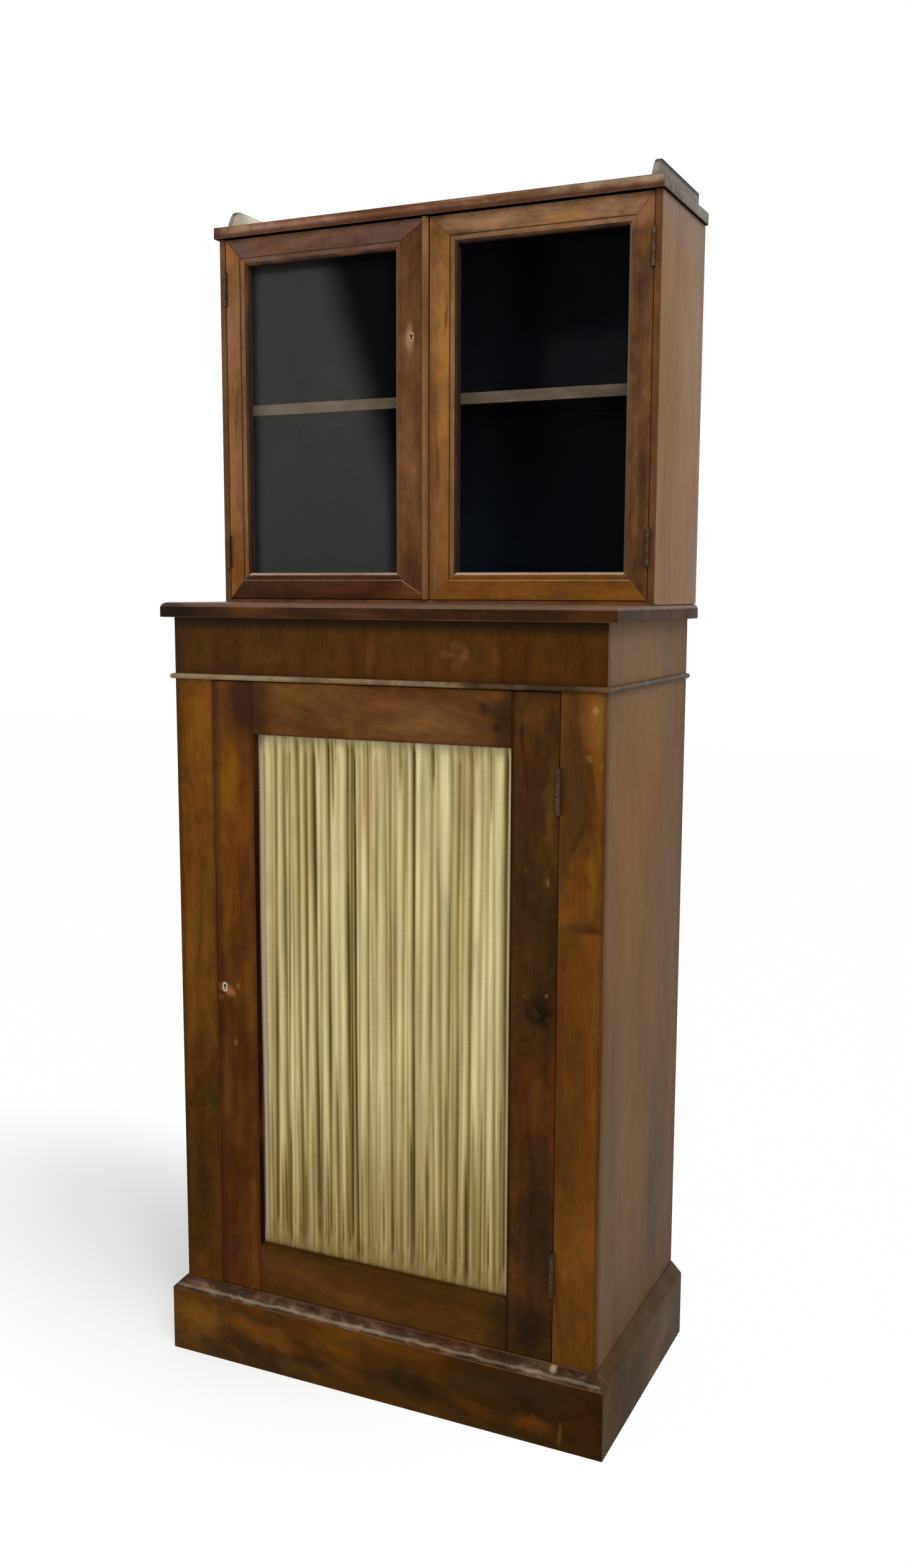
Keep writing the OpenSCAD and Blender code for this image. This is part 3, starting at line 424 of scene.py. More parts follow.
addWood(
    "doorRightVeneer", move=(1.7, 0, 0.6), tones=((31, 19, 7), (57, 35, 11), (88, 53, 15)), glows=0.05,
    mottle=0.36,
    patches=(
        (0.24, 0.93, 0.025, 0.07, 0.6, (62, 34, 16)), (0.266, 0.92, 0.012, 0.09, 0.6, (86, 57, 20)),
        (0.236, 1.04, 0.03, 0.03, 0.5, (80, 49, 15)), (0.222, 1.01, 0.004, 0.02, 0.7, (39, 23, 7)),
        (0.252, 0.78, 0.03, 0.08, 0.5, (53, 37, 13)), (0.251, 0.628, 0.026, 0.026, 0.9, (28, 19, 8)),
        (0.246, 0.627, 0.01, 0.009, 0.8, (56, 40, 22)),
        (0.264, 0.62, 0.005, 0.006, 0.7, (60, 42, 22), 30),
        (0.262, 0.652, 0.0035, 0.004, 0.7, (102, 85, 42)),
        (0.232, 0.648, 0.006, 0.003, 0.5, (94, 72, 30), 30),
        (0.262, 0.812, 0.003, 0.008, 0.6, (104, 83, 37)), (0.23, 0.826, 0.003, 0.007, 0.4, (92, 68, 29)),
        (0.238, 0.5, 0.035, 0.08, 0.75, (88, 45, 13)), (0.272, 0.5, 0.004, 0.14, 0.6, (84, 31, 8)),
        (0.252, 0.3, 0.03, 0.1, 0.6, (43, 28, 10)), (0.242, 0.16, 0.045, 0.055, 0.85, (35, 23, 8))),
    shades=(("X", 0.207, 0.214, 0.75, (20, 12, 6)),))
addWood(
    "doorTopVeneer", turn=76, move=(0.3, 0, 1.3), tones=((47, 28, 9), (74, 46, 17), (105, 69, 29)),
    stretch=0.14, driftX=((-0.25, -0.2), (-0.19, 0.0), (0.0, 0.06), (0.14, 0.04), (0.2, -0.2)),
    patches=(
        (-0.205, 1.03, 0.045, 0.06, 0.9, (50, 26, 13)), (-0.15, 1.035, 0.05, 0.02, 0.5, (91, 56, 14)),
        (0.08, 1.025, 0.1, 0.035, 0.4, (104, 71, 38)),
        (0.07, 1.018, 0.06, 0.012, 0.35, (115, 79, 41), -6),
        (-0.04, 1.045, 0.05, 0.012, 0.4, (95, 58, 22), 4), (0.205, 1.03, 0.03, 0.05, 0.8, (46, 30, 12)),
        (0.165, 1.045, 0.008, 0.01, 0.6, (37, 24, 9)), (0.185, 1.02, 0.007, 0.009, 0.6, (34, 22, 9))),
    shades=(("Z", 0.993, 0.998, 0.5, (42, 24, 11)),))
# the reveals around the silk's opening, near black: painted shade in the recess
addWood("doorReveal", tones=((20, 9, 5), (34, 16, 9), (52, 28, 14)), shine=0.01)
addWood(
    "doorBottomVeneer", turn=86, move=(0.7, 0, 0.4), tones=((48, 30, 8), (72, 45, 12), (98, 62, 16)),
    glows=0.1,
    patches=(
        (-0.14, 0.17, 0.06, 0.02, 0.4, (92, 58, 15)), (0.21, 0.15, 0.04, 0.06, 0.8, (40, 28, 10))))
addWood(
    "friezeVeneer", move=(0.03, 0, 0.5), leaf=0.115, leafStart=0.02,
    tones=((34, 21, 4), (55, 33, 5), (78, 48, 8)), glow=(101, 61, 10), glows=0.2, veins=0.1, wander=0.03,
    stretch=0.3, streakScale=40, streaks=0.08, bands=0.14,
    driftX=((-0.34, -0.06), (-0.1, 0.0), (0.1, 0.06), (0.34, -0.04)),
    patches=(
        (0.11, 1.115, 0.016, 0.009, 0.26, (112, 70, 38)),
        (0.135, 1.116, 0.013, 0.013, 0.33, (120, 79, 45), 20),
        (0.123, 1.13, 0.012, 0.008, 0.3, (98, 70, 42)), (0.124, 1.102, 0.01, 0.012, 0.25, (100, 62, 34)),
        (0.182, 1.116, 0.008, 0.016, 0.22, (104, 70, 32), -10),
        (-0.008, 1.115, 0.01, 0.04, 0.5, (86, 52, 13)), (-0.18, 1.11, 0.05, 0.018, 0.35, (74, 49, 15)),
        (-0.345, 1.11, 0.02, 0.06, 0.6, (34, 20, 8))),
    # a painted shadow under the top board at the frieze's head, and painted shade above the bead
    shades=(("Z", 1.158, 1.142, 0.75, (27, 17, 3)), ("Z", 1.078, 1.09, 0.4, (34, 20, 6))))
# the bead's pale grey-brown is a painted highlight along it, fading out to the right, where dark patches
# break it
addWood(
    "beadWood", turn=90, tones=((46, 32, 18), (80, 64, 44), (126, 110, 82)), mottle=0.6, film=0.05,
    rough=0.34, shine=0.06,
    driftX=((-0.34, 0.34), (0.08, 0.32), (0.15, -0.1), (0.24, -0.34), (0.335, -0.34), (0.345, -0.26)),
    patches=(
        (0.15, 1.076, 0.02, 0.006, 0.8, (46, 30, 14)), (-0.1, 1.076, 0.03, 0.006, 0.5, (52, 34, 18))))
# the lower top board's front edge: dark below its rounding as painted shade; the up-facing rounding takes
# a lighter copy, a painted highlight, and both are darker at the left end
addWood(
    "topBoardVeneer", turn=90, move=(0.2, 0.1, 0), tones=((23, 12, 5), (37, 20, 8), (59, 33, 14)),
    patches=(
        (0.33, 1.175, 0.05, 0.05, 0.5, (67, 37, 16)), (-0.33, 1.175, 0.04, 0.05, 0.8, (17, 10, 5))))
addWood(
    "topBoardWorn", turn=90, move=(0.2, 0.1, 0), tones=((53, 38, 28), (79, 58, 44), (103, 81, 63)),
    film=0.1, shine=0.12, patches=((-0.345, 1.18, 0.03, 0.05, 0.85, (28, 18, 12)),))
addWood(
    "topBoardSurface", turn=90, move=(0.5, 0.3, 0), tones=((66, 42, 24), (98, 66, 38), (128, 92, 58)),
    film=0.06, shine=0.1)
addWood(
    "plinthFrontVeneer", turn=80, move=(0.4, 0, 0.2), tones=((33, 19, 3), (57, 35, 5), (94, 57, 6)),
    glow=(125, 76, 6), glows=0.2, wander=0.035, stretch=0.3, clouds=0.4, cloudScale=6, mottle=0.24,
    driftX=((-0.34, 0.14), (-0.15, 0.08), (0.0, 0.0), (0.34, -0.12)),
    patches=(
        (-0.31, 0.06, 0.05, 0.035, 0.6, (112, 72, 8)), (-0.19, 0.06, 0.08, 0.02, 0.6, (114, 66, 8), 10),
        (-0.08, 0.075, 0.06, 0.018, 0.5, (86, 48, 8)), (-0.145, 0.02, 0.03, 0.012, 0.5, (71, 55, 18)),
        (0.06, 0.04, 0.07, 0.035, 0.7, (40, 28, 8)), (0.16, 0.03, 0.04, 0.012, 0.4, (94, 53, 8), 10),
        (0.255, 0.028, 0.035, 0.016, 0.6, (110, 61, 9), 5),
        (0.297, 0.025, 0.004, 0.02, 0.5, (127, 84, 21)), (0.335, 0.05, 0.022, 0.06, 0.6, (66, 33, 10)),
        (0.22, 0.075, 0.11, 0.022, 0.7, (58, 40, 22))))
addWood(
    "plinthChamferVeneer", turn=90, tones=((38, 25, 17), (63, 48, 34), (116, 98, 76)), streaks=0.3,
    mottle=0.8,
    patches=(
        # the dark band at z 0.118, just under the carcass's edge, is a painted shadow
        (0.0, 0.107, 0.7, 0.0024, 0.6, (140, 122, 100)), (0.0, 0.118, 0.7, 0.006, 0.6, (54, 28, 20)),
        (-0.32, 0.112, 0.03, 0.006, 0.5, (104, 74, 64)),
        (0.283, 0.115, 0.006, 0.006, 0.7, (160, 136, 110))))
addWood("plinthSideVeneer", sideWood, turn=90, tones=((48, 36, 25), (74, 57, 39), (95, 74, 51)))
addWood(
    "lowerSideVeneer", sideWood, move=(0.2, 0.4, 0.1),
    driftZ=((0.12, -0.16), (0.4, -0.06), (0.8, 0.06), (1.05, 0.04)), patchAxis=1,
    patches=(
        (-0.05, 0.92, 0.16, 0.16, 0.6, (124, 90, 48)), (-0.04, 0.74, 0.09, 0.07, 0.5, (118, 92, 46)),
        (0.09, 0.6, 0.035, 0.13, 0.45, (122, 84, 68)), (0.04, 0.9, 0.08, 0.07, 0.5, (122, 82, 56)),
        (0.11, 0.28, 0.08, 0.24, 0.6, (94, 75, 62)), (-0.14, 0.42, 0.03, 0.14, 0.5, (104, 90, 54)),
        (-0.165, 0.62, 0.02, 0.07, 0.5, (120, 72, 44)), (-0.05, 0.3, 0.05, 0.2, 0.4, (116, 84, 46)),
        (-0.1, 0.16, 0.1, 0.05, 0.4, (104, 70, 50)), (0.14, 0.97, 0.04, 0.1, 0.5, (116, 80, 66))),
    shades=(("Y", -0.177, -0.16, 0.6, (78, 46, 20)), ("Y", 0.196, 0.16, 0.5, (84, 64, 56))))
addWood(
    "upperSideVeneer", sideWood, move=(0.2, 0.9, 0.7),
    tones=((104, 78, 52), (128, 98, 68), (148, 116, 84)), shine=0.12,
    shades=(("Z", 1.74, 1.66, 0.5, (128, 114, 104)),))
addWood(
    "upperTopVeneer", turn=90, move=(0.6, 0, 0.3), tones=((56, 38, 26), (104, 78, 58), (152, 126, 102)),
    reds=0.4, stretch=0.2, mottle=0.4,
    patches=(
        (-0.355, 1.75, 0.012, 0.03, 0.8, (66, 34, 28)), (-0.12, 1.756, 0.16, 0.004, 0.5, (60, 42, 30)),
        # the pale patch at x 0.3, on the edge's upper half, is a painted highlight; the shade darkens the
        # lower half as painted shade
        (0.1, 1.752, 0.1, 0.003, 0.5, (70, 36, 28)), (0.3, 1.757, 0.1, 0.005, 0.5, (132, 120, 106))),
    shades=(("Z", 1.7445, 1.7515, 0.85, (62, 34, 22)),))
addWood(
    "upperFrontVeneer", doorWood, move=(0.15, 0, 0.35), tones=((54, 34, 19), (80, 54, 34), (104, 74, 50)))
addWood("meetingBeadVeneer", doorWood, tones=((86, 58, 34), (110, 80, 50), (134, 102, 68)))
addWood(
    "leftDoorUprightVeneer", doorWood, move=(0.8, 0, 1.2),
    # lighter towards the outer stile: a painted reflection
    driftX=((-0.35, 0.24), (-0.3, 0.16), (-0.04, -0.12), (0.0, -0.16)),
    patches=(
        (-0.325, 1.6, 0.03, 0.08, 0.5, (116, 84, 60)), (-0.33, 1.25, 0.03, 0.06, 0.6, (104, 56, 18)),
        (-0.0255, 1.573, 0.008, 0.024, 0.75, (156, 112, 82)),
        (-0.0145, 1.6, 0.003, 0.1, 0.7, (88, 58, 26)), (-0.03, 1.5, 0.012, 0.03, 0.5, (84, 50, 26)),
        (-0.022, 1.33, 0.012, 0.06, 0.5, (106, 76, 42)), (-0.022, 1.24, 0.022, 0.05, 0.6, (74, 46, 26))))
addWood(
    "leftDoorTopVeneer", doorWood, turn=90, move=(0.2, 0, 1.7),
    tones=((54, 34, 19), (89, 67, 56), (114, 91, 77)),
    patches=((-0.06, 1.725, 0.04, 0.02, 0.5, (78, 60, 50)),))
addWood(
    "leftDoorFootVeneer", doorWood, turn=90, move=(0.6, 0, 1.1),
    tones=((34, 17, 6), (53, 28, 10), (78, 44, 16)),
    patches=((-0.12, 1.205, 0.08, 0.006, 0.5, (82, 32, 11)),))
addWood(
    "rightDoorUprightVeneer", doorWood, move=(1.8, 0, 0.2),
    tones=((54, 34, 19), (100, 68, 34), (130, 90, 52)), glows=0.35,
    driftX=((0.0, 0.14), (0.06, 0.1), (0.28, -0.12), (0.34, -0.14)),
    patches=(
        (0.028, 1.5, 0.01, 0.22, 0.6, (134, 88, 34)), (0.028, 1.28, 0.016, 0.07, 0.5, (120, 76, 24)),
        (0.011, 1.45, 0.003, 0.25, 0.7, (108, 56, 22)), (0.034, 1.6, 0.003, 0.03, 0.7, (70, 44, 20), 5),
        (0.02, 1.4, 0.003, 0.05, 0.5, (76, 46, 18), -4), (0.332, 1.55, 0.014, 0.16, 0.5, (96, 66, 44)),
        (0.335, 1.35, 0.008, 0.1, 0.6, (66, 42, 24)), (0.33, 1.725, 0.034, 0.034, 0.75, (142, 98, 64))))
addWood(
    "rightDoorTopVeneer", doorWood, turn=90, move=(0.2, 0, 1.1),
    tones=((54, 34, 19), (118, 87, 61), (152, 118, 87)),
    patches=(
        (0.1, 1.722, 0.05, 0.008, 0.6, (150, 108, 72)), (0.22, 1.718, 0.05, 0.008, 0.6, (150, 104, 56)),
        (0.06, 1.712, 0.02, 0.004, 0.6, (66, 42, 24))))
addWood(
    "rightDoorFootVeneer", doorWood, turn=90, move=(0.2, 0, 0.7),
    tones=((54, 34, 19), (102, 62, 15), (132, 84, 21)))
# the glazing mouldings by the way they face: painted shade on those facing right or down, a painted
# reflection on those facing left, a painted highlight on those facing up
addWood("mouldingShaded", doorWood, tones=((30, 20, 17), (54, 38, 33), (80, 58, 50)), mottle=0.2)
addWood("mouldingGreyed", doorWood, tones=((54, 43, 36), (80, 66, 55), (104, 86, 72)), mottle=0.2)
addWood(
    "mouldingWorn", doorWood, turn=90, tones=((108, 88, 74), (146, 126, 110), (178, 160, 144)), glows=0.0,
    veins=0.1)
addWood(
    "galleryWood", turn=90, tones=((88, 80, 72), (122, 114, 104), (148, 140, 128)), glows=0.0, reds=0.1,
    mottle=0.5, shades=(("Z", 1.785, 1.779, 1.0, (40, 38, 38)), ("Z", 1.7415, 1.744, 0.7, (50, 40, 34))))
# the left gallery's inside face: pale, and whitened towards the back as painted light
addWood(
    "galleryInsideWood", turn=90, tones=((170, 158, 140), (196, 186, 168), (212, 204, 188)),
    vein=(150, 136, 116), glows=0.0, reds=0.0, patchAxis=1,
    patches=((-0.012, 1.787, 0.026, 0.006, 1.0, (104, 100, 104)),),
    shades=(("Y", 0.05, 0.01, 0.9, (250, 246, 238)),))
addWood("darkArris", tones=((30, 28, 28), (50, 46, 44), (66, 60, 56)), glows=0.0, reds=0.0)
addWood(
    "shelfWood", turn=90, tones=((60, 50, 38), (84, 73, 57), (112, 100, 84)), vein=(60, 48, 38),
    glow=(104, 88, 68), veins=0.2, mottle=0.4,
    driftX=((-0.34, 0.25), (-0.05, 0.15), (0.06, -0.06), (0.17, 0.0), (0.27, 0.06)))
addWood("plainPine", pineWood)
addWood("plainPineAcross", pineWood, turn=90)
addWood("lowerInsideStain", tones=((44, 28, 18), (72, 48, 32), (98, 68, 46)), glows=0.1, rough=0.6)
addWood(
    "lowerFloorStain", turn=90, tones=((50, 34, 22), (80, 56, 38), (108, 78, 54)), glows=0.1, reds=0.15,
    rough=0.6)
# near black inside the glazed case: a dark stain, darkened further as painted shade, since the panes let
# the lamps in
addWood(
    "upperInsideStain", tones=((2, 4, 7), (3, 6, 11), (7, 11, 18)), vein=(2, 3, 5), glow=(8, 10, 14),
    glows=0.1, reds=0.0, rough=0.6, shine=0.02)
addWood("doorInsideStain", tones=((40, 26, 17), (62, 42, 28), (86, 60, 40)), glows=0.1, rough=0.6)
addWood(
    "backBoardPine", tones=((104, 80, 54), (136, 106, 72), (164, 132, 94)), vein=(92, 66, 42),
    glow=(150, 118, 80), reds=0.1, veins=0.5, veinCount=14, stretch=0.06, film=0.1, rough=0.7, shine=0.1,
    seams=(0.14, 0.02))
addWood("wornEdge", tones=((54, 36, 22), (82, 58, 38), (112, 84, 60)), veins=0.1, rough=0.5)
print("woods mixed:", len(woods))


# Metal and glass

metalLooks = {  # colour, dirt, roughness, share of dirt
    "agedBrass": ((176, 148, 92), (124, 98, 58), 0.42, 0.6),
    "darkBrass": ((98, 77, 62), (42, 30, 23), 0.55, 0.9),
    "woodBrass": ((90, 64, 38), (46, 31, 18), 0.6, 0.9),
    "dullBrass": ((150, 116, 84), (96, 68, 44), 0.5, 0.6),
    "paleBrass": ((190, 178, 150), (120, 100, 74), 0.4, 0.5),
    "agedSteel": ((120, 116, 110), (62, 48, 38), 0.5, 0.6),
}


def metalMaterial(name, colour, dirt, rough, dirtShare):
    material, shader = newMaterial(name)
    place = addNode("TexCoord").outputs["Object"]
    wear = cloud(place, 320, 5, 0.65)
    fine = cloud(place, 1500, 2, along=0.15)
    share = spread(wear, 0.35, 0.65, 0.4 * dirtShare, dirtShare, True)
    feed(shader, {
        "Base Color": blendColour(share, paint(*colour), paint(*dirt)),
        "Roughness": spread(wear, 0.3, 0.7, rough - 0.1, rough + 0.15),
        "Normal": bumped(fine, 0.12, 0.0003),
        "Metallic": 0.9,
    })
    return material


metals = {name: metalMaterial(name, *look) for name, look in metalLooks.items()}

glassValues = {
    "bend": 1.03,  # less than real glass, which keeps the lamps' reflections off the panes
    "past": 0.06,  # share of the painted reflection left past its end
    "margin": 0.25,  # and along its margins
    "dust": (0.85, 1.15),
    "rough": (0.01, 0.04),
}
paneLooks = {  # a painted reflection: a grey veil from one line across the pane to another, and margins where it is less
    "left": {"tint": (204, 206, 202), "slant": 0.34, "from": 0.370, "to": 0.440, "share": 0.0232,
             "margins": (("X", -0.303, -0.286), ("X", -0.056, -0.074), ("Z", 1.692, 1.680))},
    "right": {"tint": (222, 229, 235), "slant": 0, "from": 0.200, "to": 0.165, "share": 0.0018,
              "margins": (("Z", 1.575, 1.550), ("Z", 1.480, 1.490))},
}


def glassMaterial(name, look):
    v = glassValues
    material, shader = newMaterial(name)
    place = addNode("TexCoord").outputs["Object"]
    ripple = cloud(place, 9, 2)
    dust = cloud(place, 60, 4, 0.7)
    split = addNode("SeparateXYZ", {0: place})
    slant = sums("MULTIPLY_ADD", split.outputs["Z"], look["slant"], split.outputs["X"])
    # the veil is a painted reflection in the glass, varied by the dust
    paintedReflection = spread(slant, look["from"], look["to"], look["share"], v["past"] * look["share"], True)
    for axis, low, high in look["margins"]:
        paintedReflection = sums("MULTIPLY", paintedReflection, spread(split.outputs[axis], low, high, v["margin"], 1.0, True))
    paintedReflection = sums("MULTIPLY", paintedReflection, spread(dust, 0.3, 0.7, *v["dust"]))
    feed(shader, {
        "Transmission Weight": sums("SUBTRACT", 1.0, paintedReflection),
        "Base Color": paint(*look["tint"]),
        "Roughness": spread(dust, 0.3, 0.7, *v["rough"]),
        "Normal": bumped(ripple, 0.1, 0.002),
        "IOR": v["bend"],
    })
    return material


panes = {side: glassMaterial(side + "Pane", look) for side, look in paneLooks.items()}
print("metals and glass mixed")


# CAD nodes that keep their shape

keptNodes = {
    "plainPine": ["silk_board"],
    "plainPineAcross": ["lower_shelves"],
    "lowerInsideStain": ["silk_beads"],
    "lowerFloorStain": ["lower_bottom_board"],
    "doorInsideStain": ["left_glazing_beads", "right_glazing_beads"],
    "agedBrass": ["lower_lock_keeper", "lower_lock_case", "upper_lock_case", "lower_lock_bolt",
                  "upper_lock_bolt", "door_bolt_plates", "top_door_bolt", "bottom_door_bolt"],
    "darkBrass": ["hinge_frame_leaves", "hinge_pins", "lower_door_hinge_leaves"],
    "woodBrass": ["left_door_hinge_leaves", "right_door_hinge_leaves"],
    "dullBrass": ["upper_escutcheon"],
    "paleBrass": ["lower_escutcheon"],
    "agedSteel": ["carcass_hinge_screws", "lower_door_screws"],
}


def giveMaterial(piece, *materials):
    piece.data.materials.clear()
    for material in materials:
        piece.data.materials.append(material)


for materialName, names in keptNodes.items():
    for name in names:
        giveMaterial(nodes[name], {**woods, **metals}[materialName])
for side, pane in panes.items():
    giveMaterial(nodes[side + "_glass"], pane)
    nodes[side + "_glass"].visible_shadow = False


# Veneered pieces: merged copies with eased, worn edges

edgeValues = {
    "weld": 0.00001,  # metres within which points become one
    "flat": 0.4,  # degrees under which faces become one
    "sharp": 40,  # degrees from which an edge is eased
    "shortest": 0.012,  # metres of the shortest edge that is eased
    "width": 0.0008,
    "near": 0.0002,  # metres from the front or the underside
    "smooth": 24,  # degrees up to which faces are shaded as one
}


def pickNothing():
    if bpy.context.object and bpy.context.object.mode != "OBJECT":
        bpy.ops.object.mode_set(mode="OBJECT")
    bpy.ops.object.select_all(action="DESELECT")


def mergedCopy(nodeName, pieceName):  # the node's solid as one closed mesh with flat faces whole
    pickNothing()
    source = nodes[nodeName]
    source.select_set(True)
    bpy.context.view_layer.objects.active = source
    bpy.ops.object.duplicate()
    piece = bpy.context.object
    piece.name = piece.data.name = pieceName
    del piece["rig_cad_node"]
    bpy.ops.mesh.customdata_custom_splitnormals_clear()
    bpy.ops.object.mode_set(mode="EDIT")
    bpy.ops.mesh.select_all(action="SELECT")
    bpy.ops.mesh.remove_doubles(threshold=edgeValues["weld"])
    bpy.ops.mesh.dissolve_limited(angle_limit=math.radians(edgeValues["flat"]))
    bpy.ops.object.mode_set(mode="OBJECT")
    return piece


def easeEdges(piece, wanted, slotIndex):  # slot -1: as the faces beside
    v = edgeValues
    bpy.ops.object.mode_set(mode="EDIT")
    bpy.ops.mesh.select_mode(type="EDGE")
    bpy.ops.mesh.select_all(action="DESELECT")
    mesh = bmesh.from_edit_mesh(piece.data)
    for edge in mesh.edges:
        if len(edge.link_faces) == 2 and edge.is_convex and edge.calc_length() > v["shortest"]:
            sharp = edge.calc_face_angle() > math.radians(v["sharp"])
            if sharp and wanted(*(point.co for point in edge.verts)):
                edge.select_set(True)
    bmesh.update_edit_mesh(piece.data)
    if any(edge.select for edge in mesh.edges):
        bpy.ops.mesh.bevel(offset=v["width"], segments=2, profile=0.5, affect="EDGES",
                           clamp_overlap=True, material=slotIndex)
    bpy.ops.object.mode_set(mode="OBJECT")


def materialByFace(piece, rules):  # the first rule that a face fits: (way, limit, slot number)
    for face in piece.data.polygons:
        if face.material_index:
            continue
        for way, limit, number in rules:
            value = face.center.z if way == "above" else face.normal[way[0]] * way[1]
            if value > limit:
                face.material_index = number
                break


inX, outX, inZ, outZ = (0, 1), (0, -1), (2, 1), (2, -1)  # the way a face looks: axis, sign
frontY, backY = (1, -1), (1, 1)


def rule(way, materialName, limit=0.7):  # faces that look this way take another material: another veneer, a stain, or a lit or shaded copy that paints light and shade
    return way, limit, materialName


def veneer(materialName, *faces, edge="front"):
    return materialName, [rule(*face) for face in faces], edge


carcassBack = (backY, "lowerInsideStain")
doorBack = (backY, "doorInsideStain")


def upperDoor(side, leftStile, rightStile):  # painted shade on the mouldings at the left and the head, a painted reflection on the right-hand one, a painted highlight at the foot
    node = side + "_door_"
    upright = side + "DoorUprightVeneer"
    return {
        node + leftStile: veneer(upright, doorBack, (inX, "mouldingShaded", 0.3)),
        node + rightStile: veneer(upright, doorBack, (outX, "mouldingGreyed", 0.3)),
        node + "top_rail": veneer(side + "DoorTopVeneer", doorBack, (outZ, "mouldingShaded", 0.3)),
        node + "bottom_rail": veneer(side + "DoorFootVeneer", doorBack, (inZ, "mouldingWorn", 0.3)),
    }


veneered = {  # by the body that the pieces ride, then by node
    "carcass": {
        "left_face_stile": veneer(
            "faceLeftVeneer", (outX, "lowerSideVeneer"), (inX, "lowerInsideStain"), carcassBack),
        "right_face_stile": veneer(
            "faceRightVeneer", (inX, "lowerSideVeneer"), (outX, "lowerInsideStain"), carcassBack),
        "frieze_board": veneer(
            "friezeVeneer", (outX, "lowerSideVeneer"), (inX, "lowerSideVeneer"), carcassBack),
        "lower_left_side": veneer(
            "lowerSideVeneer", (inX, "lowerInsideStain"), (backY, "plainPine"), edge="none"),
        "lower_right_side": veneer(
            "lowerSideVeneer", (outX, "lowerInsideStain"), (backY, "plainPine"), edge="none"),
        "lower_top_board": veneer(
            "topBoardVeneer", (outZ, "lowerInsideStain"), (backY, "plainPine"),
            (inZ, "topBoardSurface", 0.98), (inZ, "topBoardWorn", 0.3), edge="under"),
        "frieze_bead": veneer("beadWood", edge="none"),
        "plinth_front": veneer("plinthFrontVeneer", (inZ, "plinthChamferVeneer", 0.1), edge="all"),
        "upper_shelf": veneer("shelfWood", (inZ, "upperInsideStain"), (outZ, "upperInsideStain")),
        "shelf_bearers": veneer("plainPine", ("above", "upperInsideStain", 1.2), edge="none"),
        "lower_back_board": veneer("plainPine", (backY, "backBoardPine"), edge="none"),
        "upper_back_board": veneer("upperInsideStain", (backY, "backBoardPine"), edge="none"),
        "plinth_left_return": veneer("plinthSideVeneer", edge="all"),
        "plinth_right_return": veneer("plinthSideVeneer", edge="all"),
        "upper_left_side": veneer(
            "upperSideVeneer", (frontY, "upperFrontVeneer"), (inX, "upperInsideStain")),
        "upper_right_side": veneer(
            "upperSideVeneer", (frontY, "upperFrontVeneer"), (outX, "upperInsideStain")),
        "upper_bottom_board": veneer("upperFrontVeneer", (inZ, "upperInsideStain"), edge="none"),
        "upper_top_board": veneer(
            "upperTopVeneer", (outZ, "upperInsideStain"), (inZ, "topBoardSurface", 0.98),
            (inX, "galleryWood"), (outX, "galleryWood"), edge="all"),
        "gallery_left": veneer("galleryWood", (inX, "galleryInsideWood"), edge="dark"),
        "gallery_right": veneer("galleryWood", edge="dark"),
        "gallery_back": veneer("galleryWood", edge="dark"),
    },
    "lower_door": {
        "lower_door_left_stile": veneer("doorLeftVeneer", carcassBack, (inX, "doorReveal")),
        "lower_door_right_stile": veneer("doorRightVeneer", carcassBack, (outX, "doorReveal")),
        "lower_door_top_rail": veneer("doorTopVeneer", carcassBack, (outZ, "doorReveal")),
        "lower_door_bottom_rail": veneer("doorBottomVeneer", carcassBack),
    },
    "upper_left_door": {
        **upperDoor("left", "outer_stile", "meeting_stile"),
        "meeting_bead": veneer("meetingBeadVeneer", edge="none"),
    },
    "upper_right_door": upperDoor("right", "meeting_stile", "outer_stile"),
}


def camel(name):
    first, *rest = name.split("_")
    return first + "".join(word.capitalize() for word in rest)


def makeVeneered(nodeName, body, materialName, rules, edge):
    piece = mergedCopy(nodeName, camel(nodeName))
    others = list(dict.fromkeys(other for way, limit, other in rules))
    worn = "darkArris" if edge == "dark" else "wornEdge"
    giveMaterial(piece, woods[materialName], woods[worn], *[woods[other] for other in others])
    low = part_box(nodeName)[0]
    near = edgeValues["near"]
    if edge == "front":
        easeEdges(piece, lambda a, b: max(a.y, b.y) < low.y + near, 1 if body == "carcass" else -1)
    elif edge == "under":
        easeEdges(piece, lambda a, b: max(a.z, b.z) < low.z + near, 1)
    elif edge in ("all", "dark"):
        easeEdges(piece, lambda a, b: True, 1)
    materialByFace(piece, [(way, limit, others.index(other) + 2) for way, limit, other in rules])
    bpy.ops.object.shade_smooth_by_angle(angle=math.radians(edgeValues["smooth"]))
    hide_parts(nodeName)
    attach(piece, body)


for body, pieces in veneered.items():
    for nodeName, look in pieces.items():
        makeVeneered(nodeName, body, *look)
print("veneered pieces eased:", sum(len(pieces) for pieces in veneered.values()))


# The pleated silk behind the lower door's opening

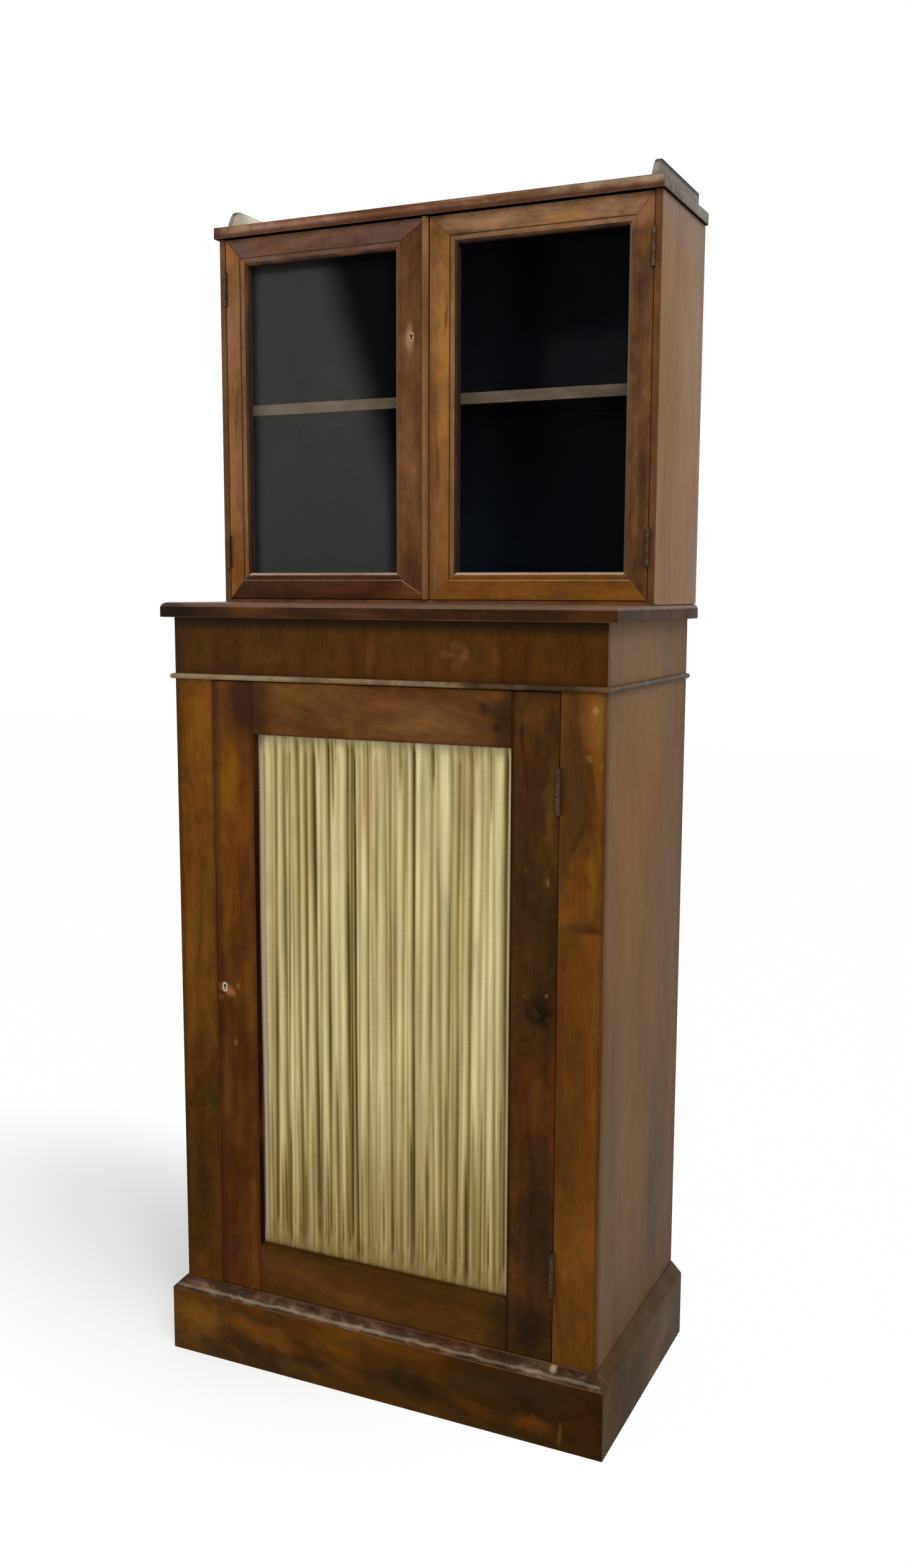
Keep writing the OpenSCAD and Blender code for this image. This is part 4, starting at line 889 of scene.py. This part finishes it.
silkValues = {
    "across": 620,  # faces across the cloth
    "up": 60,  # faces up the cloth
    "thick": 0.0003,
    "seed": 11,
    "front": 0.0002,  # room left in front and behind, inside the CAD's solid
    "back": 0.0004,
    "gap": (0.0050, 0.0170),  # between two long pleats
    "notch": (0.0013, 0.0027),  # half the width of a valley
    "depth": (0.3, 1.1),
    "lean": (-0.004, 0.004),
    "footGap": 0.0068,  # short pleats at the foot fill gaps wider than this
    "footNotch": (0.0010, 0.0018),
    "footDepth": (0.45, 0.85),
    "footTop": (0.12, 0.46),  # where they end, as a share of the height
    "headPleats": 20,  # short ones that start at the head
    "headNotch": (0.0012, 0.0024),
    "headDepth": (0.4, 0.8),
    "headFoot": (0.80, 0.95),
    "shortLean": (-0.003, 0.003),
    "shortFade": (0.06, 0.12),  # how soon a head pleat and a foot pleat fade out
    "hem": (0.006, 0.032),  # valleys end this far above the foot
    "hemFade": (0.30, 0.022),  # depth left there, metres of fading
    "head": (0.010, 0.022),  # and this far below the head
    "headFade": (0.45, 0.012),
    "wander": 0.0016,
    "round": (1.3, 0.55),  # form of a valley's sides
    "swell": (95, 1.7, 0.16, 0.13),  # scale across, scale up, height, lowered by
}


def pleatValleys(width):  # each valley: where, half width, depth, how it leans, where it fades
    v = silkValues
    draw = random.Random(v["seed"])
    valleys = []
    x = draw.uniform(*v["gap"]) * 0.5
    while x < width:
        valleys.append((x, draw.uniform(*v["notch"]), draw.uniform(*v["depth"]),
                        draw.uniform(*v["lean"]), 0, 1))
        x += draw.uniform(*v["gap"])
    long = sorted(valley[0] for valley in valleys)
    for left, right in zip(long, long[1:]):
        count = int((right - left) / v["footGap"])
        for k in range(1, count + 1):
            valleys.append((left + (right - left) * k / (count + 1), draw.uniform(*v["footNotch"]),
                            draw.uniform(*v["footDepth"]), draw.uniform(*v["shortLean"]), 0,
                            draw.uniform(*v["footTop"])))
    for _ in range(v["headPleats"]):
        valleys.append((draw.uniform(0, width), draw.uniform(*v["headNotch"]),
                        draw.uniform(*v["headDepth"]), draw.uniform(*v["shortLean"]),
                        draw.uniform(*v["headFoot"]), 1))
    return valleys


def rolled(ends, angle):  # between two values, up and down with the angle
    low, high = ends
    return low + (high - low) * (0.5 + 0.5 * math.sin(angle))


def pleatRidge(xs, z, height, valleys):  # how far one row of points stands out, 0 to 1
    v = silkValues
    hemLeast, hemFade = v["hemFade"]
    headLeast, headFade = v["headFade"]
    startFade, stopFade = v["shortFade"]
    power, steep = v["round"]
    ridge = np.ones(len(xs))
    for k, (x, half, depth, lean, start, stop) in enumerate(valleys):
        wander = v["wander"] * noise.noise(Vector((k * 3.7, z * 2.2, v["seed"])))
        strength = 0.75 + 0.5 * noise.noise(Vector((k * 5.3, z * 2.6, v["seed"] + 5)))
        hem = rolled(v["hem"], k * 2.4)
        head = rolled(v["head"], k * 1.7)
        strength *= min(1, max(hemLeast, (z * height - hem) / hemFade))
        strength *= min(1, max(headLeast, 1 - (z * height - height + head + headFade) / headFade))
        if start > 0:
            strength *= min(1, max(0, (z - start) / startFade))
        if stop < 1:
            strength *= min(1, max(0, (stop - z) / stopFade))
        away = np.abs(xs - (x + wander + lean * (0.5 - z) * 2)) / half
        ridge = np.minimum(ridge, 1 - min(1, depth * strength) * np.exp(-away ** power * steep))
    across, up, swellHeight, lowered = v["swell"]
    swell = [noise.noise(Vector((x * across, z * up, v["seed"] + 30))) for x in xs]
    return np.clip(ridge - lowered + swellHeight * np.array(swell), 0, 1)


def makeSilk():
    v = silkValues
    low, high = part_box("silk_panel")
    across, up = v["across"], v["up"]
    deep = high.y - low.y - v["front"] - v["back"] - v["thick"]
    width, height = high.x - low.x, high.z - low.z
    valleys = pleatValleys(width)
    xs = np.linspace(0, width, across + 1)
    rows = []
    fold = []
    for j in range(up + 1):
        z = j / up
        ridge = pleatRidge(xs, z, height, valleys)
        rows.append([(low.x + x, high.y - v["back"] - deep * r, low.z + height * z)
                     for x, r in zip(xs, ridge)])
        fold.extend(ridge)
    faces = []
    for j in range(up):
        for i in range(across):
            a = j * (across + 1) + i
            faces.append((a, a + 1, a + across + 2, a + across + 1))
    mesh = bpy.data.meshes.new("pleatedSilk")
    mesh.from_pydata([point for row in rows for point in row], [], faces)
    flatWidth = float(np.linalg.norm(np.diff(np.array(rows), axis=1), axis=2).sum(1).mean())
    attribute = mesh.attributes.new("fold", "FLOAT", "POINT")
    attribute.data.foreach_set("value", fold)
    flatMap = mesh.uv_layers.new(name="flatCloth")
    for polygon in mesh.polygons:
        for corner in polygon.loop_indices:
            index = mesh.loops[corner].vertex_index
            flatMap.data[corner].uv = ((index % (across + 1)) / across * flatWidth,
                                       (index // (across + 1)) / up * height)
    piece = bpy.data.objects.new("pleatedSilk", mesh)
    bpy.context.scene.collection.objects.link(piece)
    pickNothing()
    piece.select_set(True)
    bpy.context.view_layer.objects.active = piece
    bpy.ops.object.shade_smooth()
    modifier = piece.modifiers.new("thickness", "SOLIDIFY")
    modifier.thickness = v["thick"]
    modifier.offset = -1
    bpy.ops.object.modifier_apply(modifier="thickness")
    return piece, flatWidth, height


silkLooks = {
    "tones": ((0.12, (66, 54, 10)), (0.45, (126, 111, 54)), (0.74, (172, 159, 107)),
              (0.97, (209, 198, 150))),  # from the valleys to the ridges: painted shade in the valleys, painted highlight on the ridges
    "valleys": (0.92, 0.86),  # how much darker a valley is higher up and at the foot, as painted shade
    "bands": (0.80, 1.16),  # how dark and how light whole folds go: partly the silk's own tone, partly a painted sheen
    "stain": (158, 126, 88), "stainShare": 0.4,
    "faded": (182, 160, 136), "fadedFrom": 0.1955, "fadedTo": 0.2015,  # beside the door's stiles
    "fadedShare": 0.8,
    "foot": (206, 188, 152), "footFrom": 0.22, "footTo": 0.52, "footShare": 0.75,
    "hem": (192, 176, 146), "hemFrom": 0.204, "hemTo": 0.246, "hemShare": 0.6,
    "hemRagged": 0.08,  # metres
    "weave": ((0.35, 0.88), (0.65, 1.08)),
    "weaveHeight": 0.0002,
    "rough": 0.55, "shine": 0.15, "sheen": 0.05, "sheenRough": 0.4,
}


def silkMaterial():
    v = silkLooks
    material, shader = newMaterial("paleGoldSilk")
    coords = addNode("TexCoord")
    place, flat = coords.outputs["Object"], coords.outputs["UV"]
    split = addNode("SeparateXYZ", {0: place})
    fold = addNode("Attribute", attribute_name="fold").outputs["Fac"]
    low = spread(split.outputs["Z"], v["footFrom"], v["footTo"], 1.0, 0.0, True)
    # painted shade in the valleys of the folds, painted highlight on their ridges, from the fold's depth
    foldShading = swayed(1.0, fold, spread(low, 0.0, 1.0, *v["valleys"]), middle=1.0)
    colour = toneRamp(foldShading, [(at, paint(*tint)) for at, tint in v["tones"]])
    bands = spread(cloud(stretched(place, (1, 0, 0.05)), 95, 2), 0.35, 0.65, *v["bands"])
    colour = vectorSums("SCALE", colour, bands)
    brown = blendColour(1.0, colour, paint(*v["foot"]), "MULTIPLY")
    colour = blendColour(sums("MULTIPLY", low, v["footShare"]), colour, brown)
    stain = spread(cloud(place, 15, 4, 0.6, along=0.3), 0.54, 0.74, 0.0, v["stainShare"], True)
    colour = blendColour(stain, colour, paint(*v["stain"]))
    ragged = swayed(split.outputs["Z"], cloud(place, 70, 4, 0.7, along=0.3), v["hemRagged"])
    hem = spread(ragged, v["hemFrom"], v["hemTo"], v["hemShare"], 0.0, True)
    colour = blendColour(hem, colour, paint(*v["hem"]), "MULTIPLY")
    away = sums("ABSOLUTE", split.outputs["X"])
    edge = spread(away, v["fadedFrom"], v["fadedTo"], 0.0, v["fadedShare"], True)
    colour = blendColour(edge, colour, paint(*v["faded"]))
    threads = cloud(stretched(flat, (1, 0.01, 1)), 2200, 2)
    weft = cloud(stretched(flat, (0.02, 1, 1)), 1500, 2)
    weave = sums("ADD", threads, weft)
    weaveTone = toneRamp(sums("MULTIPLY", weave, 0.5), greys(v["weave"]))
    feed(shader, {
        "Base Color": blendColour(1.0, colour, weaveTone, "MULTIPLY"),
        "Normal": bumped(weave, 0.18, v["weaveHeight"]),
        "Roughness": v["rough"],
        "Specular IOR Level": v["shine"],
        "Sheen Weight": v["sheen"],
        "Sheen Roughness": v["sheenRough"],
    })
    return material


silk, silkWidth, silkHeight = makeSilk()
giveMaterial(silk, silkMaterial())
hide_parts("silk_panel")
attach(silk, "lower_door")
print("silk pleated: flat width", round(silkWidth, 3), "height", round(silkHeight, 3))


# Floor, light and background

studio = {
    "ambient": 0.50,
    "floorColour": (246, 246, 246),
    "floorMottle": (225, 225, 225),
    "floorReach": 9.0,
    "pale": 0.985,  # how far the floor goes out white to the camera
    "shadePlace": (-0.66, 0.10, 0),  # a painted shadow: an ellipse, to the left of and behind the case, where the floor goes grey
    "shadeSize": (0.95, 0.46, 1),
    "shadeTurn": (0, 0, -22),
    "shadeShare": 0.75,
}
lamps = {
    "keyLamp": {"place": (1.9, -2.2, 3.5), "aim": (0, 0, 0.9), "size": 1.6, "power": 90,
                "colour": (1, 0.98, 0.95)},
    "fillLamp": {"place": (-2.2, -2.8, 1.9), "aim": (0, -0.1, 0.9), "size": 2.2, "power": 45,
                 "colour": (0.97, 0.98, 1)},
}


def floorMaterial():
    v = studio
    material, shader = newMaterial("studioFloor")
    place = addNode("TexCoord").outputs["Object"]
    mottle = spread(cloud(place, 3), 0.3, 0.7, 0, 0.02)
    feed(shader, {
        "Base Color": blendColour(mottle, paint(*v["floorColour"]), paint(*v["floorMottle"])),
        "Roughness": 0.9,
        "Specular IOR Level": 0.0,
    })
    # painted shadow: inside the ellipse less of the white glow, so the lit floor shows grey there, with
    # the real shadow in it
    near = fromMiddle(place, v["shadePlace"], v["shadeSize"], v["shadeTurn"])
    share = spread(near, 0.1, 1.0, 1 - v["shadeShare"], v["pale"], True)
    seen = addNode("LightPath").outputs["Is Camera Ray"]
    glow = addNode("Emission", {"Color": grey(1), "Strength": 1.0}).outputs[0]
    share = sums("MULTIPLY", share, seen)
    mixed = addNode("MixShader", {0: share, 1: shader.outputs[0], 2: glow}).outputs[0]
    feed(tree.nodes["Material Output"], {"Surface": mixed})
    return material


def areaLamp(name, place, aim, size, power, colour):
    bpy.ops.object.light_add(type="AREA", location=place)
    lamp = bpy.context.object
    lamp.name = name
    lamp.rotation_euler = (Vector(aim) - Vector(place)).to_track_quat("-Z", "Y").to_euler()
    lamp.data.size = size
    lamp.data.energy = power
    lamp.data.color = colour


pickNothing()
bpy.ops.mesh.primitive_plane_add(size=2 * studio["floorReach"], location=(0, 0, 0))
floor = bpy.context.object
floor.name = "studioFloor"
giveMaterial(floor, floorMaterial())
for name, values in lamps.items():
    areaLamp(name, **values)

world = bpy.data.worlds.new("studioWorld")
bpy.context.scene.world = world
world.use_nodes = True
tree = world.node_tree
ambient = tree.nodes["Background"]
feed(ambient, {"Color": grey(1), "Strength": studio["ambient"]})
backdrop = addNode("Background", {"Color": grey(1), "Strength": 1.0})
ray = addNode("LightPath")
seenThrough = sums("MAXIMUM", ray.outputs["Is Glossy Ray"], ray.outputs["Is Transmission Ray"])
seenDirect = sums("MAXIMUM", ray.outputs["Is Camera Ray"], seenThrough)
mixed = addNode("MixShader", {0: seenDirect, 1: ambient.outputs[0], 2: backdrop.outputs[0]})
feed(tree.nodes["World Output"], {"Surface": mixed.outputs[0]})
print("studio lit")
